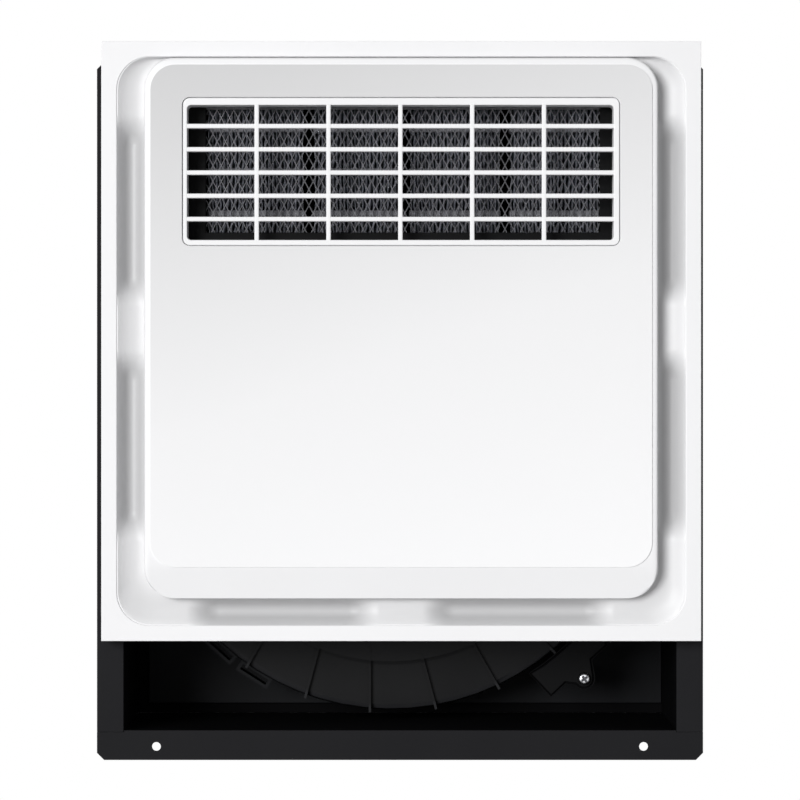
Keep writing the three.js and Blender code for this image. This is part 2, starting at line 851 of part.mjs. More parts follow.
function springClip(clip) {
  const footY = ledgeBackY + gap + clipThickness / 2;
  const legX = clip.edge - clip.side * (clipThickness / 2 + gap);
  const wallX = clip.side * (mouthHalf - gap - clipThickness / 2);
  const path = [
    [clip.edge - clip.side * clipPadLength, footY],
    [legX, footY],
    [legX, clipSlantStart],
    [wallX, clipSlantStart + clipSlantLength],
    [wallX, clipReach],
    [wallX - clip.side * clipTipDraw, clipReach + clipTipLength],
  ].map(([x, y]) => new THREE.Vector2(x, y));
  const leaf = prismZ(stripLoop(path, clipThickness), clip.z - clipWidth / 2, clip.z + clipWidth / 2);
  const hole = rodY(clip.x, clip.z, smallShank + gap, ledgeBackY, footY + overrun, screwSides);
  return cut(leaf, hole);
}

function addPanel() {
  place(panel, 'panel_frame', panelFrame(), 'white');
  place(panel, 'cover_plate', coverPlate(), 'white');
  place(panel, 'outlet_grille', outletGrille(), 'white');
  for (const clip of clipPlaces()) {
    place(panel, `panel_clip_${clip.name}`, springClip(clip), 'zinc');
    const seat = new THREE.Vector3(clip.x, ledgeBackY + gap + clipThickness + gap, clip.z);
    placeScrew(panel, `clip_screw_${clip.name}`, smallScrew, seat, back);
  }
}

// Scroll: a flat base on the housing's back, and a deep cover with the volute's wall

function arcPoints(x, z, from, to, radiusFrom, radiusTo, steps) {
  const points = [];
  for (let i = 0; i <= steps; i += 1) {
    const angle = mix(from, to, i / steps);
    const radius = mix(radiusFrom, radiusTo, i / steps);
    points.push(new THREE.Vector2(x + radius * Math.cos(angle), z + radius * Math.sin(angle)));
  }
  return points;
}

function scrollLoop() {
  const top = mouthTop - chamberTopGap;
  const leftX = scrollCentreX - scrollRadius;
  const rootRadius = impellerRadius + tongueRootClearance;
  const tipRadius = impellerRadius + tongueClearance;
  const rootAngle = Math.asin((scrollCentreZ - impellerZ) / rootRadius);
  return [
    ...arcPoints(scrollCentreX, scrollCentreZ, Math.PI, voluteEndAngle, scrollRadius, scrollRadius, 34),
    ...arcPoints(impellerX, impellerZ, rootAngle, tongueAngle, rootRadius, tipRadius, 6),
    new THREE.Vector2(chamberHalfWidth, tongueShelf),
    new THREE.Vector2(chamberHalfWidth, top),
    new THREE.Vector2(-chamberHalfWidth, top),
    new THREE.Vector2(-chamberHalfWidth, ductBottom + chamberShoulderRise),
    new THREE.Vector2(leftX, scrollCentreZ + chamberSlantRise),
  ];
}

// Stiffening ribs on the band, each drawn straight down beside the centre and then turned
function coverRibs() {
  const outer = Math.sqrt((scrollRadius + ribOverhang) ** 2 - ribOffset ** 2);
  const ribs = [];
  for (let k = -7; k <= 7; k += 1) {
    const inset = k === 0 ? longRibInset : ribInset;
    const inner = stepRadius - inset;
    const rib = box(
      -ribOffset - ribWidth / 2,
      -ribOffset + ribWidth / 2,
      scrollFrontY - ribRise,
      scrollFrontY + scrollFront,
      -outer,
      -inner,
    );
    ribs.push(rib.rotate([0, -k * ribAngle, 0]).translate([scrollCentreX, 0, scrollCentreZ]));
  }
  return ribs;
}

// Snap lugs outside the rim, as angles about the scroll's centre in degrees
const lugAngles = [-132, -122.4, -30, -20];

function coverLugs() {
  const y0 = scrollFrontY + lugSink;
  return lugAngles.map((angle) => {
    const outer = box(-overrun, lugWidth, y0, y0 + lugDepth, -lugLength / 2, lugLength / 2);
    const open = (lugWidth - lugWindowWidth) / 2;
    const window = box(
      open,
      open + lugWindowWidth,
      y0 - overrun,
      y0 + lugDepth + overrun,
      -lugWindowLength / 2,
      lugWindowLength / 2,
    );
    return cut(outer, window)
      .translate([scrollRadius, 0, 0])
      .rotate([0, -angle, 0])
      .translate([scrollCentreX, 0, scrollCentreZ]);
  });
}

const outletHalfWidth = ductWidth / 2 - ductWall;
const outletHalfHeight = ductHeight / 2 - ductWall;

function scrollCover() {
  const outline = scrollLoop();
  const edge = scrollEdgeRadius * (1 - Math.SQRT1_2);
  const openBack = scrollFrontY + scrollHeight;
  const shell = loftY([
    { loop: insetLoop(outline, scrollEdgeRadius), y: scrollFrontY },
    { loop: insetLoop(outline, edge), y: scrollFrontY + edge },
    { loop: outline, y: scrollFrontY + scrollEdgeRadius },
    { loop: outline, y: openBack },
  ]);
  const hollow = prismY(insetLoop(outline, scrollWall), scrollFrontY + scrollFront, openBack + overrun);
  const step = rodY(
    scrollCentreX,
    scrollCentreZ,
    stepRadius,
    scrollFrontY - stepRise,
    scrollFrontY + scrollFront,
    roundSides * 2,
  );
  const mouthBack = scrollFrontY - stepRise + inletDepth;
  const bell = rodY(impellerX, impellerZ, inletRadius + inletLip, scrollFrontY, mouthBack);
  const inletFront = scrollFrontY - stepRise - ribRise;
  const inlet = rodY(impellerX, impellerZ, inletRadius, inletFront, mouthBack + overrun);
  const outlet = box(
    -outletHalfWidth,
    outletHalfWidth,
    scrollFrontY - overrun,
    scrollFrontY + scrollFront + overrun,
    grilleZ - outletHalfHeight,
    grilleZ + outletHalfHeight,
  );
  const whole = join(cut(shell, hollow), step, bell, ...coverRibs(), ...coverLugs());
  return cut(whole, inlet, outlet, ...ductScrewHoles());
}

function ductScrewPlaces() {
  const z = grilleZ - ductHeight / 2 - ductTabHeight / 2;
  const x = ductWidth / 2 - ductTabInset;
  return [{ name: 'left', x: -x, z }, { name: 'right', x, z }];
}

function ductScrewHoles() {
  const holeFront = ductBackY - ductWall - overrun;
  const holeBack = scrollFrontY + scrollFront + overrun;
  return ductScrewPlaces().map(({ x, z }) => (
    rodY(x, z, smallShank + gap, holeFront, holeBack, screwSides)));
}

function motorEars() {
  return [0, 1, 2].map((i) => {
    const angle = Math.PI / 2 + (i * Math.PI * 2) / 3;
    return { x: impellerX + earCircle * Math.cos(angle), z: impellerZ + earCircle * Math.sin(angle) };
  });
}

function scrollBase() {
  const plate = box(
    -mouthHalf + baseLeftGap,
    mouthHalf - gap,
    baseFront,
    baseFront + baseThickness,
    mouthBottom + baseFootGap,
    mouthTop - gap,
  );
  const boss = rodY(wiringScrewX, wiringScrewZ, wiringBossRadius, wiringBackY + gap, baseFront + overrun, 16);
  const bossHole = rodY(
    wiringScrewX,
    wiringScrewZ,
    largeShank + gap,
    wiringBackY - overrun,
    wiringFrontY + largeLength + overrun,
    screwSides,
  );
  const holes = motorEars().map(({ x, z }) => (
    rodY(x, z, largeShank + gap, baseFront - overrun, baseFront + baseThickness + overrun, screwSides)));
  return cut(join(plate, boss), bossHole, ...holes);
}

// Wiring cover: a small plate beside the scroll's rim, with a round lobe for its screw
function wiringLoop() {
  const rim = scrollRadius + ribOverhang + gap;
  const rimArc = arcPoints(scrollCentreX, scrollCentreZ, wiringHeadAngle, wiringFootAngle, rim, rim, 5);
  const lobe = arcPoints(
    wiringScrewX,
    wiringScrewZ,
    lobeStartAngle,
    lobeEndAngle,
    wiringLobeRadius,
    wiringLobeRadius,
    7,
  );
  return [...rimArc, ...wiringFoot(), ...lobe, ...wiringHead()];
}

// Corners of the wiring cover, as places from its screw in shares of the lobe's radius
const wiringFootShares = [[-3, -1.68], [-1.68, -0.5]];
const wiringHeadShares = [[0.72, 1.72], [2.17, 3.03], [1.5, 5]];

function wiringCorner([x, z]) {
  return new THREE.Vector2(wiringScrewX + x * wiringLobeRadius, wiringScrewZ + z * wiringLobeRadius);
}

function wiringFoot() {
  return wiringFootShares.map(wiringCorner);
}

function wiringHead() {
  return wiringHeadShares.map(wiringCorner);
}

function wiringCover() {
  const plate = prismY(wiringLoop(), wiringFrontY, wiringBackY);
  const hole = rodY(
    wiringScrewX,
    wiringScrewZ,
    largeShank + gap,
    wiringFrontY - overrun,
    wiringBackY + overrun,
    screwSides,
  );
  return cut(plate, hole);
}

function addScroll() {
  place(housing, 'scroll_base', scrollBase(), 'plasticBlack');
  place(housing, 'scroll_cover', scrollCover(), 'plasticBlack');
  place(housing, 'wiring_cover', wiringCover(), 'plasticBlack');
  const seat = new THREE.Vector3(wiringScrewX, wiringFrontY - gap, wiringScrewZ);
  placeScrew(housing, 'wiring_cover_screw', largeScrew, seat, front);
}

// Blower: motor on the base, and a wheel of forward-curved blades on its shaft

const bladeBowShare = 0.985;

function impellerWheel() {
  const hub = latheY([
    [shaftRadius + gap, hubFrontY],
    [hubRadius, hubFrontY],
    [hubRadius, domeFrontY],
    [domeRadius, domeFrontY],
    [domeFootRadius, impellerBackY - impellerPlate],
    [impellerRadius, impellerBackY - impellerPlate],
    [impellerRadius, impellerBackY],
    [domeFootRadius - domeWall, impellerBackY],
    [domeRadius - domeWall, domeFrontY + domeWall],
    [hubRadius, domeFrontY + domeWall],
    [hubRadius, hubBackY],
    [shaftRadius + gap, hubBackY],
  ]);
  const ringInner = impellerRadius - frontRingWidth;
  const ring = latheY([
    [ringInner, impellerFrontY],
    [impellerRadius, impellerFrontY],
    [impellerRadius, impellerFrontY + frontRingDepth],
    [ringInner, impellerFrontY + frontRingDepth],
  ]);
  const blades = [];
  const bladeTip = impellerRadius - bladeThickness;
  const path = arcPoints(0, 0, 0, bladeSweepAngle, bladeInnerRadius, bladeTip, 3);
  path[1].multiplyScalar(bladeBowShare);
  path[2].multiplyScalar(bladeBowShare);
  const blade = prismY(
    stripLoop(path, bladeThickness),
    impellerFrontY + frontRingDepth / 2,
    impellerBackY - impellerPlate / 2,
  );
  for (let i = 0; i < bladeCount; i += 1) blades.push(blade.rotate([0, (i * 360) / bladeCount, 0]));
  return join(hub, ring, ...blades);
}

function hexNut(radius, bore, y0, y1) {
  return cut(rodY(0, 0, radius, y0, y1, 6), rodY(0, 0, bore, y0 - overrun, y1 + overrun, 16));
}

function motorBody() {
  const can = rodY(impellerX, impellerZ, motorRadius, motorFrontY, motorBackY);
  const flangeFront = motorBackY - motorFlange;
  const flange = rodY(impellerX, impellerZ, motorRadius + motorFlangeWidth, flangeFront, motorBackY);
  const ears = motorEars().map(({ x, z }) => rodY(x, z, earRadius, motorBackY - motorFlange, motorBackY, 16));
  const arm = box(-earRadius, earRadius, motorBackY - motorFlange, motorBackY, 0, earCircle);
  const arms = motorEars().map((ear, i) => arm
    .rotate([0, (-i * 360) / motorEars().length, 0])
    .translate([impellerX, 0, impellerZ]));
  const holes = motorEars().map(({ x, z }) => (
    rodY(x, z, largeShank + gap, motorBackY - motorFlange - overrun, motorBackY + overrun, screwSides)));
  const bore = rodY(
    impellerX,
    impellerZ,
    shaftRadius + gap,
    motorFrontY - overrun,
    motorBackY - motorFlange,
    16,
  );
  return cut(join(can, flange, ...ears, ...arms), bore, ...holes);
}

function addBlower() {
  place(housing, 'motor_body', motorBody(), 'zinc');
  const seatY = motorBackY - motorFlange - gap;
  const padFront = motorBackY + gap;
  motorEars().forEach(({ x, z }, i) => {
    const pad = cut(
      rodY(x, z, padRadius, padFront, padFront + padHeight, 16),
      rodY(x, z, largeShank + gap, padFront - overrun, padFront + padHeight + overrun, screwSides),
    );
    place(housing, `motor_pad_${i + 1}`, pad, 'rubber');
    placeScrew(housing, `motor_screw_${i + 1}`, largeScrew, new THREE.Vector3(x, seatY, z), front);
  });
  const nutFront = hubFrontY - gap - nutHeight;
  place(blower, 'impeller', impellerWheel(), 'plasticBlack');
  place(blower, 'motor_shaft', rodY(0, 0, shaftRadius, nutFront, motorBackY - motorFlange - gap, 16), 'zinc');
  place(blower, 'impeller_nut', hexNut(nutRadius, shaftRadius + gap, nutFront, nutFront + nutHeight), 'zinc');
}

// Outlet duct with the heater that it carries

function frameBox(halfWidth, halfHeight, y0, y1, x = 0) {
  return box(x - halfWidth, x + halfWidth, y0, y1, grilleZ - halfHeight, grilleZ + halfHeight);
}

function outletDuct() {
  const sleeve = cut(
    frameBox(ductWidth / 2, ductHeight / 2, ductFrontY, ductBackY),
    frameBox(outletHalfWidth, outletHalfHeight, ductFrontY - overrun, ductBackY + overrun),
  );
  const tabs = ductScrewPlaces().map(({ x, z }) => box(
    x - ductTabWidth / 2,
    x + ductTabWidth / 2,
    ductBackY - ductWall,
    ductBackY,
    z - ductTabHeight / 2,
    z + ductTabHeight / 2 + ductWall,
  ));
  return cut(join(sleeve, ...tabs), ...ductScrewHoles());
}

const heaterFrontY = ductFrontY + heaterSink;
const rebateY = heaterFrontY + heaterLip;
const meshFrontY = rebateY + gap;
const elementFrontY = meshFrontY + meshThickness + elementSet;
const rebateHalfWidth = heaterWindowWidth / 2 + heaterRebate;
const rebateHalfHeight = heaterWindowHeight / 2 + heaterRebate;

function heaterFrame() {
  const heaterBackY = heaterFrontY + heaterFrameDepth;
  return cut(
    frameBox(outletHalfWidth - gap, outletHalfHeight - gap, heaterFrontY, heaterBackY),
    frameBox(
      heaterWindowWidth / 2,
      heaterWindowHeight / 2,
      heaterFrontY - overrun,
      rebateY + overrun,
      heaterShift,
    ),
    frameBox(rebateHalfWidth, rebateHalfHeight, rebateY, heaterBackY + overrun, heaterShift),
  );
}

// Guard mesh: two runs of slanting strands that cross, inside a thin rim
function guardMesh() {
  const halfWidth = rebateHalfWidth - gap;
  const halfHeight = rebateHalfHeight - gap;
  const y1 = meshFrontY + meshThickness;
  const sheetFace = frameBox(halfWidth, halfHeight, meshFrontY, y1, heaterShift);
  const inside = frameBox(
    halfWidth - meshRim,
    halfHeight - meshRim,
    meshFrontY - overrun,
    y1 + overrun,
    heaterShift,
  );
  const columns = Math.ceil(halfWidth / meshPitchX);
  const rows = Math.ceil(halfHeight / meshPitchZ);
  const slope = Math.hypot(meshPitchX, meshPitchZ);
  const dx = meshPitchX / 2 - (meshStrand * slope) / meshPitchZ / 2;
  const dz = meshPitchZ / 2 - (meshStrand * slope) / meshPitchX / 2;
  const holes = [];
  for (let c = -columns * 2; c <= columns * 2; c += 1) {
    for (let r = -rows * 2; r <= rows * 2; r += 1) {
      const x = heaterShift + (c * meshPitchX) / 2;
      const z = grilleZ + (r * meshPitchZ) / 2;
      const within = Math.abs(x - heaterShift) < halfWidth + dx && Math.abs(z - grilleZ) < halfHeight + dz;
      if ((c + r) % 2 === 0 && within) {
        const corners = [[x - dx, z], [x, z - dz], [x + dx, z], [x, z + dz]];
        const diamond = corners.map(([a, b]) => new THREE.Vector2(a, b));
        holes.push(prismY(diamond, meshFrontY - overrun, y1 + overrun));
      }
    }
  }
  return sheetFace.subtract(join(...holes).intersect(inside));
}

const elementWidth = (rebateHalfWidth * 2 - gap * 2 - elementGap * (elementCount - 1)) / elementCount;

// One heating element: a folded fin across its width, joined to flat tubes that hold the heating stones
function heatingElement(i) {
  const x0 = heaterShift - rebateHalfWidth + gap + i * (elementWidth + elementGap);
  const x1 = x0 + elementWidth;
  const low = grilleZ - rebateHalfHeight + gap;
  const high = grilleZ + rebateHalfHeight - gap;
  const back1 = elementFrontY + elementDepth;
  const folds = Math.floor(elementWidth / finPitch) * 2;
  const path = [];
  for (let k = 0; k <= folds; k += 1) {
    const y = k % 2 === 0 ? elementFrontY + finInset : back1 - finInset;
    path.push(new THREE.Vector2(mix(x0 + finThickness, x1 - finThickness, k / folds), y));
  }
  const fin = prismZ(stripLoop(path, finThickness), low, high);
  const tubes = [-1, 0, 1].map((k) => {
    const z = grilleZ + k * tubePitch;
    return box(x0, x1, elementFrontY, back1, z - tubeHeight / 2, z + tubeHeight / 2);
  });
  return join(fin, ...tubes);
}

function thermalCutout() {
  const wallX = -ductWidth / 2 - gap;
  const y = ductFrontY + cutoutPlace;
  const disc = rodX(y, grilleZ, cutoutRadius, wallX - cutoutHeight, wallX, 20);
  const capX = wallX - cutoutHeight;
  const cap = rodX(y, grilleZ, cutoutRadius / 2, capX - overrun, capX + overrun, 16);
  return join(disc, cap);
}

function addHeater() {
  place(housing, 'outlet_duct', outletDuct(), 'zinc');
  for (const { name, x, z } of ductScrewPlaces()) {
    const seat = new THREE.Vector3(x, ductBackY - ductWall - gap, z);
    placeScrew(housing, `duct_screw_${name}`, smallScrew, seat, front);
  }
  place(housing, 'heater_frame', heaterFrame(), 'plasticBlack');
  place(housing, 'guard_mesh', guardMesh(), 'meshGrey');
  for (let i = 0; i < elementCount; i += 1) {
    place(housing, `heating_element_${i + 1}`, heatingElement(i), 'aluminium');
  }
  place(housing, 'thermal_cutout', thermalCutout(), 'whitePlastic');
}

// Terminal box on the right wall, with its block, lid and cable gland

const boxRight = mouthHalf - gap;
const boxLeft = boxRight - boxWidth;
const boxBottom = boxTop - boxHeight;
const boxBackY = boxFront + boxDepth;

function terminalBox() {
  return cut(
    box(boxLeft, boxRight, boxFront, boxBackY, boxBottom, boxTop),
    box(
      boxLeft + boxWall,
      boxRight - boxWall,
      boxFront - overrun,
      boxBackY - boxWall,
      boxBottom + boxWall,
      boxTop - boxWall,
    ),
    rodX(glandY, glandZ, glandRadius + gap, boxRight - boxWall - overrun, boxRight + overrun),
  );
}

function terminalBlock() {
  const x = (boxLeft + boxRight) / 2;
  const y1 = boxBackY - boxWall - gap;
  const body = box(
    x - blockWidth / 2,
    x + blockWidth / 2,
    y1 - blockDepth,
    y1,
    glandZ - blockHeight / 2,
    glandZ + blockHeight / 2,
  );
  const slots = [-1, 0, 1].map((k) => {
    const z = glandZ + (k * blockHeight) / 3;
    return box(
      x - blockWidth / 2 - overrun,
      x + blockWidth / 2 + overrun,
      y1 - blockDepth - overrun,
      y1 - blockDepth / 2,
      z - blockSlot / 2,
      z + blockSlot / 2,
    );
  });
  return cut(body, ...slots);
}

function terminalLid() {
  const x = (boxLeft + boxRight) / 2;
  const z = boxTop - boxWall - largeHead * 2;
  const y1 = boxFront - gap;
  const plate = box(boxLeft, boxRight, y1 - lidThickness, y1, boxBottom, boxTop);
  const plug = box(
    boxLeft + boxWall + gap,
    boxRight - boxWall - gap,
    y1 - overrun,
    boxFront + boxWall,
    boxBottom + boxWall + gap,
    boxTop - boxWall - gap,
  );
  const holeFront = y1 - lidThickness - overrun;
  const hole = rodY(x, z, smallShank + gap, holeFront, boxFront + boxWall + overrun, screwSides);
  return { solid: cut(join(plate, plug), hole), seat: new THREE.Vector3(x, y1 - lidThickness - gap, z) };
}

// A profile of radius and place along X, turned about the gland's axis
function latheX(profile, y, z, sides) {
  return latheY(profile, sides).rotate([0, 0, -90]).translate([0, y, z]);
}

function cableGland() {
  const wallOuter = mouthHalf + sheetThickness + gap;
  const inner = boxRight - boxWall - glandTail;
  return latheX([
    [glandBore, inner],
    [glandRadius, inner],
    [glandRadius, wallOuter],
    [glandFlange, wallOuter],
    [glandFlange, wallOuter + glandFlangeDepth],
    [glandRadius, wallOuter + glandFlangeDepth + glandNose],
    [glandBore, wallOuter + glandFlangeDepth + glandNose],
  ], glandY, glandZ, 20);
}

function glandLockNut() {
  const x1 = boxRight - boxWall - gap;
  return cut(
    rodX(glandY, glandZ, glandNutRadius, x1 - glandNutDepth, x1, 6),
    rodX(glandY, glandZ, glandRadius + gap, x1 - glandNutDepth - overrun, x1 + overrun, 20),
  );
}

// Run capacitor of the motor, held by a clamp on the left wall
const capacitorX = -mouthHalf + gap + clampWall + gap + capacitorRadius;
const capacitorY = capacitorDepthPlace;
const capacitorFoot = mouthTop - capacitorTopGap - capacitorLength;
const capacitorMiddle = capacitorFoot + capacitorLength / 2;

function rodZ(x, y, radius, z0, z1, sides = roundSides) {
  const geometry = new THREE.CylinderGeometry(radius, radius, z1 - z0, sides);
  geometry.rotateX(Math.PI / 2);
  geometry.translate(x, y, (z0 + z1) / 2);
  return solidOf(geometry);
}

function capacitorClamp() {
  const z0 = capacitorMiddle - clampHeight / 2;
  const z1 = capacitorMiddle + clampHeight / 2;
  const wallX = -mouthHalf + gap;
  const band = rodZ(capacitorX, capacitorY, capacitorRadius + gap + clampWall, z0, z1, 24);
  const bore = rodZ(capacitorX, capacitorY, capacitorRadius + gap, z0 - overrun, z1 + overrun, 24);
  const footHalf = clampFootLength / 2;
  const foot = box(wallX, wallX + clampWall, capacitorY - footHalf, capacitorY + footHalf, z0, z1);
  return cut(join(band, foot), bore);
}

function addWiring() {
  place(housing, 'terminal_box', terminalBox(), 'plasticBlack');
  place(housing, 'terminal_block', terminalBlock(), 'whitePlastic');
  const lid = terminalLid();
  place(housing, 'terminal_lid', lid.solid, 'plasticBlack');
  placeScrew(housing, 'terminal_lid_screw', smallScrew, lid.seat, front);
  place(housing, 'cable_gland', cableGland(), 'plasticBlack');
  place(housing, 'gland_nut', glandLockNut(), 'plasticBlack');
  const canTop = capacitorFoot + capacitorLength;
  const can = rodZ(capacitorX, capacitorY, capacitorRadius, capacitorFoot, canTop, 24);
  place(housing, 'motor_capacitor', can, 'whitePlastic');
  place(housing, 'capacitor_clamp', capacitorClamp(), 'zinc');
}

addHousing();
addScroll();
addBlower();
addHeater();
addWiring();
addPanel();

// The origin is the middle of the flange, on the face that rests against the ceiling
heater.position.set(0, -sheetThickness, -flangeHeight / 2);

export default heater;
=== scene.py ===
# %% [markdown]
# # Dressing a bathroom fan heater
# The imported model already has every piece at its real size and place.
# This lesson gives each piece its finish, and rebuilds the ones that show close up
# with finer meshes, in metres, in the same frame: +Z up, -Y out of the panel.

# %% Load the frame
import json
import math

import bmesh
import bpy
from mathutils import Matrix, Vector


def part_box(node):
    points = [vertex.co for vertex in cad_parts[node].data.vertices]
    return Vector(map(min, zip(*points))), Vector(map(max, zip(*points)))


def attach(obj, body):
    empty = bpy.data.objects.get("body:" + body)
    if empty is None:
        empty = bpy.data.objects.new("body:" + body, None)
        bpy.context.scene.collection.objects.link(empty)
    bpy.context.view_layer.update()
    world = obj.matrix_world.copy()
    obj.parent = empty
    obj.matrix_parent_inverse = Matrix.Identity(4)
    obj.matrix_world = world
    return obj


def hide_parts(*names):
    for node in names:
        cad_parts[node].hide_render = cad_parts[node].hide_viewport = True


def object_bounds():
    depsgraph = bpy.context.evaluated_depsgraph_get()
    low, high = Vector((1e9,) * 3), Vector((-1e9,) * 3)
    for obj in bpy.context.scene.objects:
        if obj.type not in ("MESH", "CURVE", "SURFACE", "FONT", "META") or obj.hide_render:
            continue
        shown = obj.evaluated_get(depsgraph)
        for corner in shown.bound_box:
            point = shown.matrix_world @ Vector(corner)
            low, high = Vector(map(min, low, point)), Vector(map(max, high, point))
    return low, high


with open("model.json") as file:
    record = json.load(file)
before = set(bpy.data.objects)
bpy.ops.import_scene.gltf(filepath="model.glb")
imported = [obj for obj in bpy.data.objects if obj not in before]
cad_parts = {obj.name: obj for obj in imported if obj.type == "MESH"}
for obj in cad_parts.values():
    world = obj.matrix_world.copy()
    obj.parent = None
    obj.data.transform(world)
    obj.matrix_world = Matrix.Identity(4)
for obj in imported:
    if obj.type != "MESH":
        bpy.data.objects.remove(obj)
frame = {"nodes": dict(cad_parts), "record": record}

cad_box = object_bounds()
mm = 0.001

# %% [markdown]
# ## The camera
# The picture was taken straight on, from about 1.8 m. A long lens keeps the sides of the
# housing nearly hidden behind the panel. The camera could look at the middle of the flange;
# it sits 5.55 mm above it instead, where the panel's edges fall as they do in the picture.

# %% Camera
lens_length = 162.0
camera_height = 5.55 * mm
camera_distance = 1815 * mm

camera = bpy.data.objects.new("camera", bpy.data.cameras.new("camera"))
camera.data.sensor_width = 36.0
camera.data.lens = lens_length
camera.location = (0, -camera_distance, camera_height)
camera.rotation_euler = (math.pi / 2, 0, 0)
bpy.context.scene.collection.objects.link(camera)
bpy.context.scene.camera = camera
print("camera at", tuple(round(v, 4) for v in camera.location))

# %% [markdown]
# ## Light
# The sunk channel is dark on its left and beside the plate's right edge, so the main light
# stands 28 degrees to the left of straight ahead and 11 degrees up. It is large and far
# away, so the panel is equally bright on both sides. A second lamp in front would fill the
# channel and flatten it, so the other one stands behind, to the right. It shows the sides
# and the back and doesn't shine on the panel's face.

# %% Lamps
key_turn = math.radians(28)
key_rise = math.radians(11)
key_distance = 12.0
key_size = 5.6
key_power = 1470.0
back_power = 900.0
back_direction = Vector((0.78, 0.52, 0.34))


def add_lamp(name, place, size, power):
    lamp = bpy.data.objects.new(name, bpy.data.lights.new(name, "AREA"))
    lamp.data.shape = "DISK"
    lamp.data.size = size
    lamp.data.energy = power
    lamp.location = place
    lamp.rotation_euler = (-place).to_track_quat("-Z", "Y").to_euler()
    bpy.context.scene.collection.objects.link(lamp)


key_place = key_distance * Vector((
    -math.sin(key_turn) * math.cos(key_rise),
    -math.cos(key_turn) * math.cos(key_rise),
    math.sin(key_rise),
))
add_lamp("key_lamp", key_place, key_size, key_power)
add_lamp("back_lamp", key_distance * back_direction, key_size, back_power)
print("key lamp at", tuple(round(v, 2) for v in key_place))

# %% [markdown]
# The rest of the light is a dim, even room. It is seen as pure white, also in a reflection,
# but shines with a fifth of that strength, so it doesn't wash out the shadows. Two worlds
# can't be used at once, so the kind of ray chooses the strength.

# %% World
room_light = 0.19


def set_inputs(node, values):
    for name, value in values.items():
        node.inputs[name].default_value = value


def join_rays(tree, path, *kinds):
    total = path.outputs[kinds[0]]
    for kind in kinds[1:]:
        either = tree.nodes.new("ShaderNodeMath")
        either.operation = "ADD"
        either.use_clamp = True
        tree.links.new(total, either.inputs[0])
        tree.links.new(path.outputs[kind], either.inputs[1])
        total = either.outputs[0]
    return total


world = bpy.data.worlds.new("room")
bpy.context.scene.world = world
world.use_nodes = True
nodes = world.node_tree.nodes
links = world.node_tree.links
nodes.clear()
path = nodes.new("ShaderNodeLightPath")
seen = join_rays(world.node_tree, path, "Is Camera Ray", "Is Glossy Ray", "Is Transmission Ray")
level = nodes.new("ShaderNodeMapRange")
set_inputs(level, {"To Min": room_light, "To Max": 1.0})
links.new(seen, level.inputs["Value"])
background = nodes.new("ShaderNodeBackground")
set_inputs(background, {"Color": (1, 1, 1, 1)})
links.new(level.outputs[0], background.inputs["Strength"])
output = nodes.new("ShaderNodeOutputWorld")
links.new(background.outputs[0], output.inputs["Surface"])
bpy.context.scene.view_settings.view_transform = "Standard"
print("room light", room_light)

# %% [markdown]
# ## The floor
# The part hangs from a ceiling, so the floor lies well below it and only catches its shadow.
# It fades to the white of the room away from the part, which hides its rim. A white floor
# would throw light up at the panel from below, so most of its paleness is seen, not lit.

# %% Floor
floor_drop = 120 * mm
floor_radius = 1.6
floor_sides = 96

bm = bmesh.new()
bmesh.ops.create_circle(bm, cap_ends=True, segments=floor_sides, radius=floor_radius)
bmesh.ops.translate(bm, verts=bm.verts, vec=(0, 0, cad_box[0].z - floor_drop))
floor_mesh = bpy.data.meshes.new("floor")
bm.to_mesh(floor_mesh)
bm.free()
floor = bpy.data.objects.new("floor", floor_mesh)
bpy.context.scene.collection.objects.link(floor)
print("floor at z", round(cad_box[0].z - floor_drop, 3))

# %% Floor: its finish
floor_grey = 0.60
fade_start = 0.25
fade_end = 0.75
floor_glow = 0.50

floor_finish = bpy.data.materials.new("floor")
floor_finish.use_nodes = True
nodes = floor_finish.node_tree.nodes
links = floor_finish.node_tree.links
shader = nodes["Principled BSDF"]
set_inputs(shader, {"Base Color": (floor_grey, floor_grey, floor_grey, 1), "Roughness": 0.9,
                    "Specular IOR Level": 0.1})
place = nodes.new("ShaderNodeTexCoord")
flat = nodes.new("ShaderNodeVectorMath")
flat.operation = "MULTIPLY"
flat.inputs[1].default_value = (1, 1, 0)
links.new(place.outputs["Object"], flat.inputs[0])
far = nodes.new("ShaderNodeVectorMath")
far.operation = "LENGTH"
links.new(flat.outputs[0], far.inputs[0])
fade = nodes.new("ShaderNodeMapRange")
fade.interpolation_type = "SMOOTHSTEP"
set_inputs(fade, {"From Min": fade_start, "From Max": fade_end, "To Min": floor_glow})
links.new(far.outputs["Value"], fade.inputs["Value"])
path = nodes.new("ShaderNodeLightPath")
share = nodes.new("ShaderNodeMath")
share.operation = "MULTIPLY"
links.new(fade.outputs[0], share.inputs[0])
seen = join_rays(floor_finish.node_tree, path, "Is Camera Ray", "Is Glossy Ray")
links.new(seen, share.inputs[1])
white = nodes.new("ShaderNodeEmission")
blend = nodes.new("ShaderNodeMixShader")
links.new(share.outputs[0], blend.inputs[0])
links.new(shader.outputs[0], blend.inputs[1])
links.new(white.outputs[0], blend.inputs[2])
links.new(blend.outputs[0], nodes["Material Output"].inputs["Surface"])
floor_mesh.materials.append(floor_finish)
print("floor fades from", fade_start, "to", fade_end, "m")

# %% [markdown]
# ## One recipe for the finishes
# Real surfaces are never one flat colour. Each finish here has a soft cloud that changes
# its colour and its gloss, and a fine grain for the bump, all in Object coordinates, so the
# pattern stays on the piece when it moves. Image textures could do this too, but noise
# needs no files and has no seams.

# %% Finish recipe


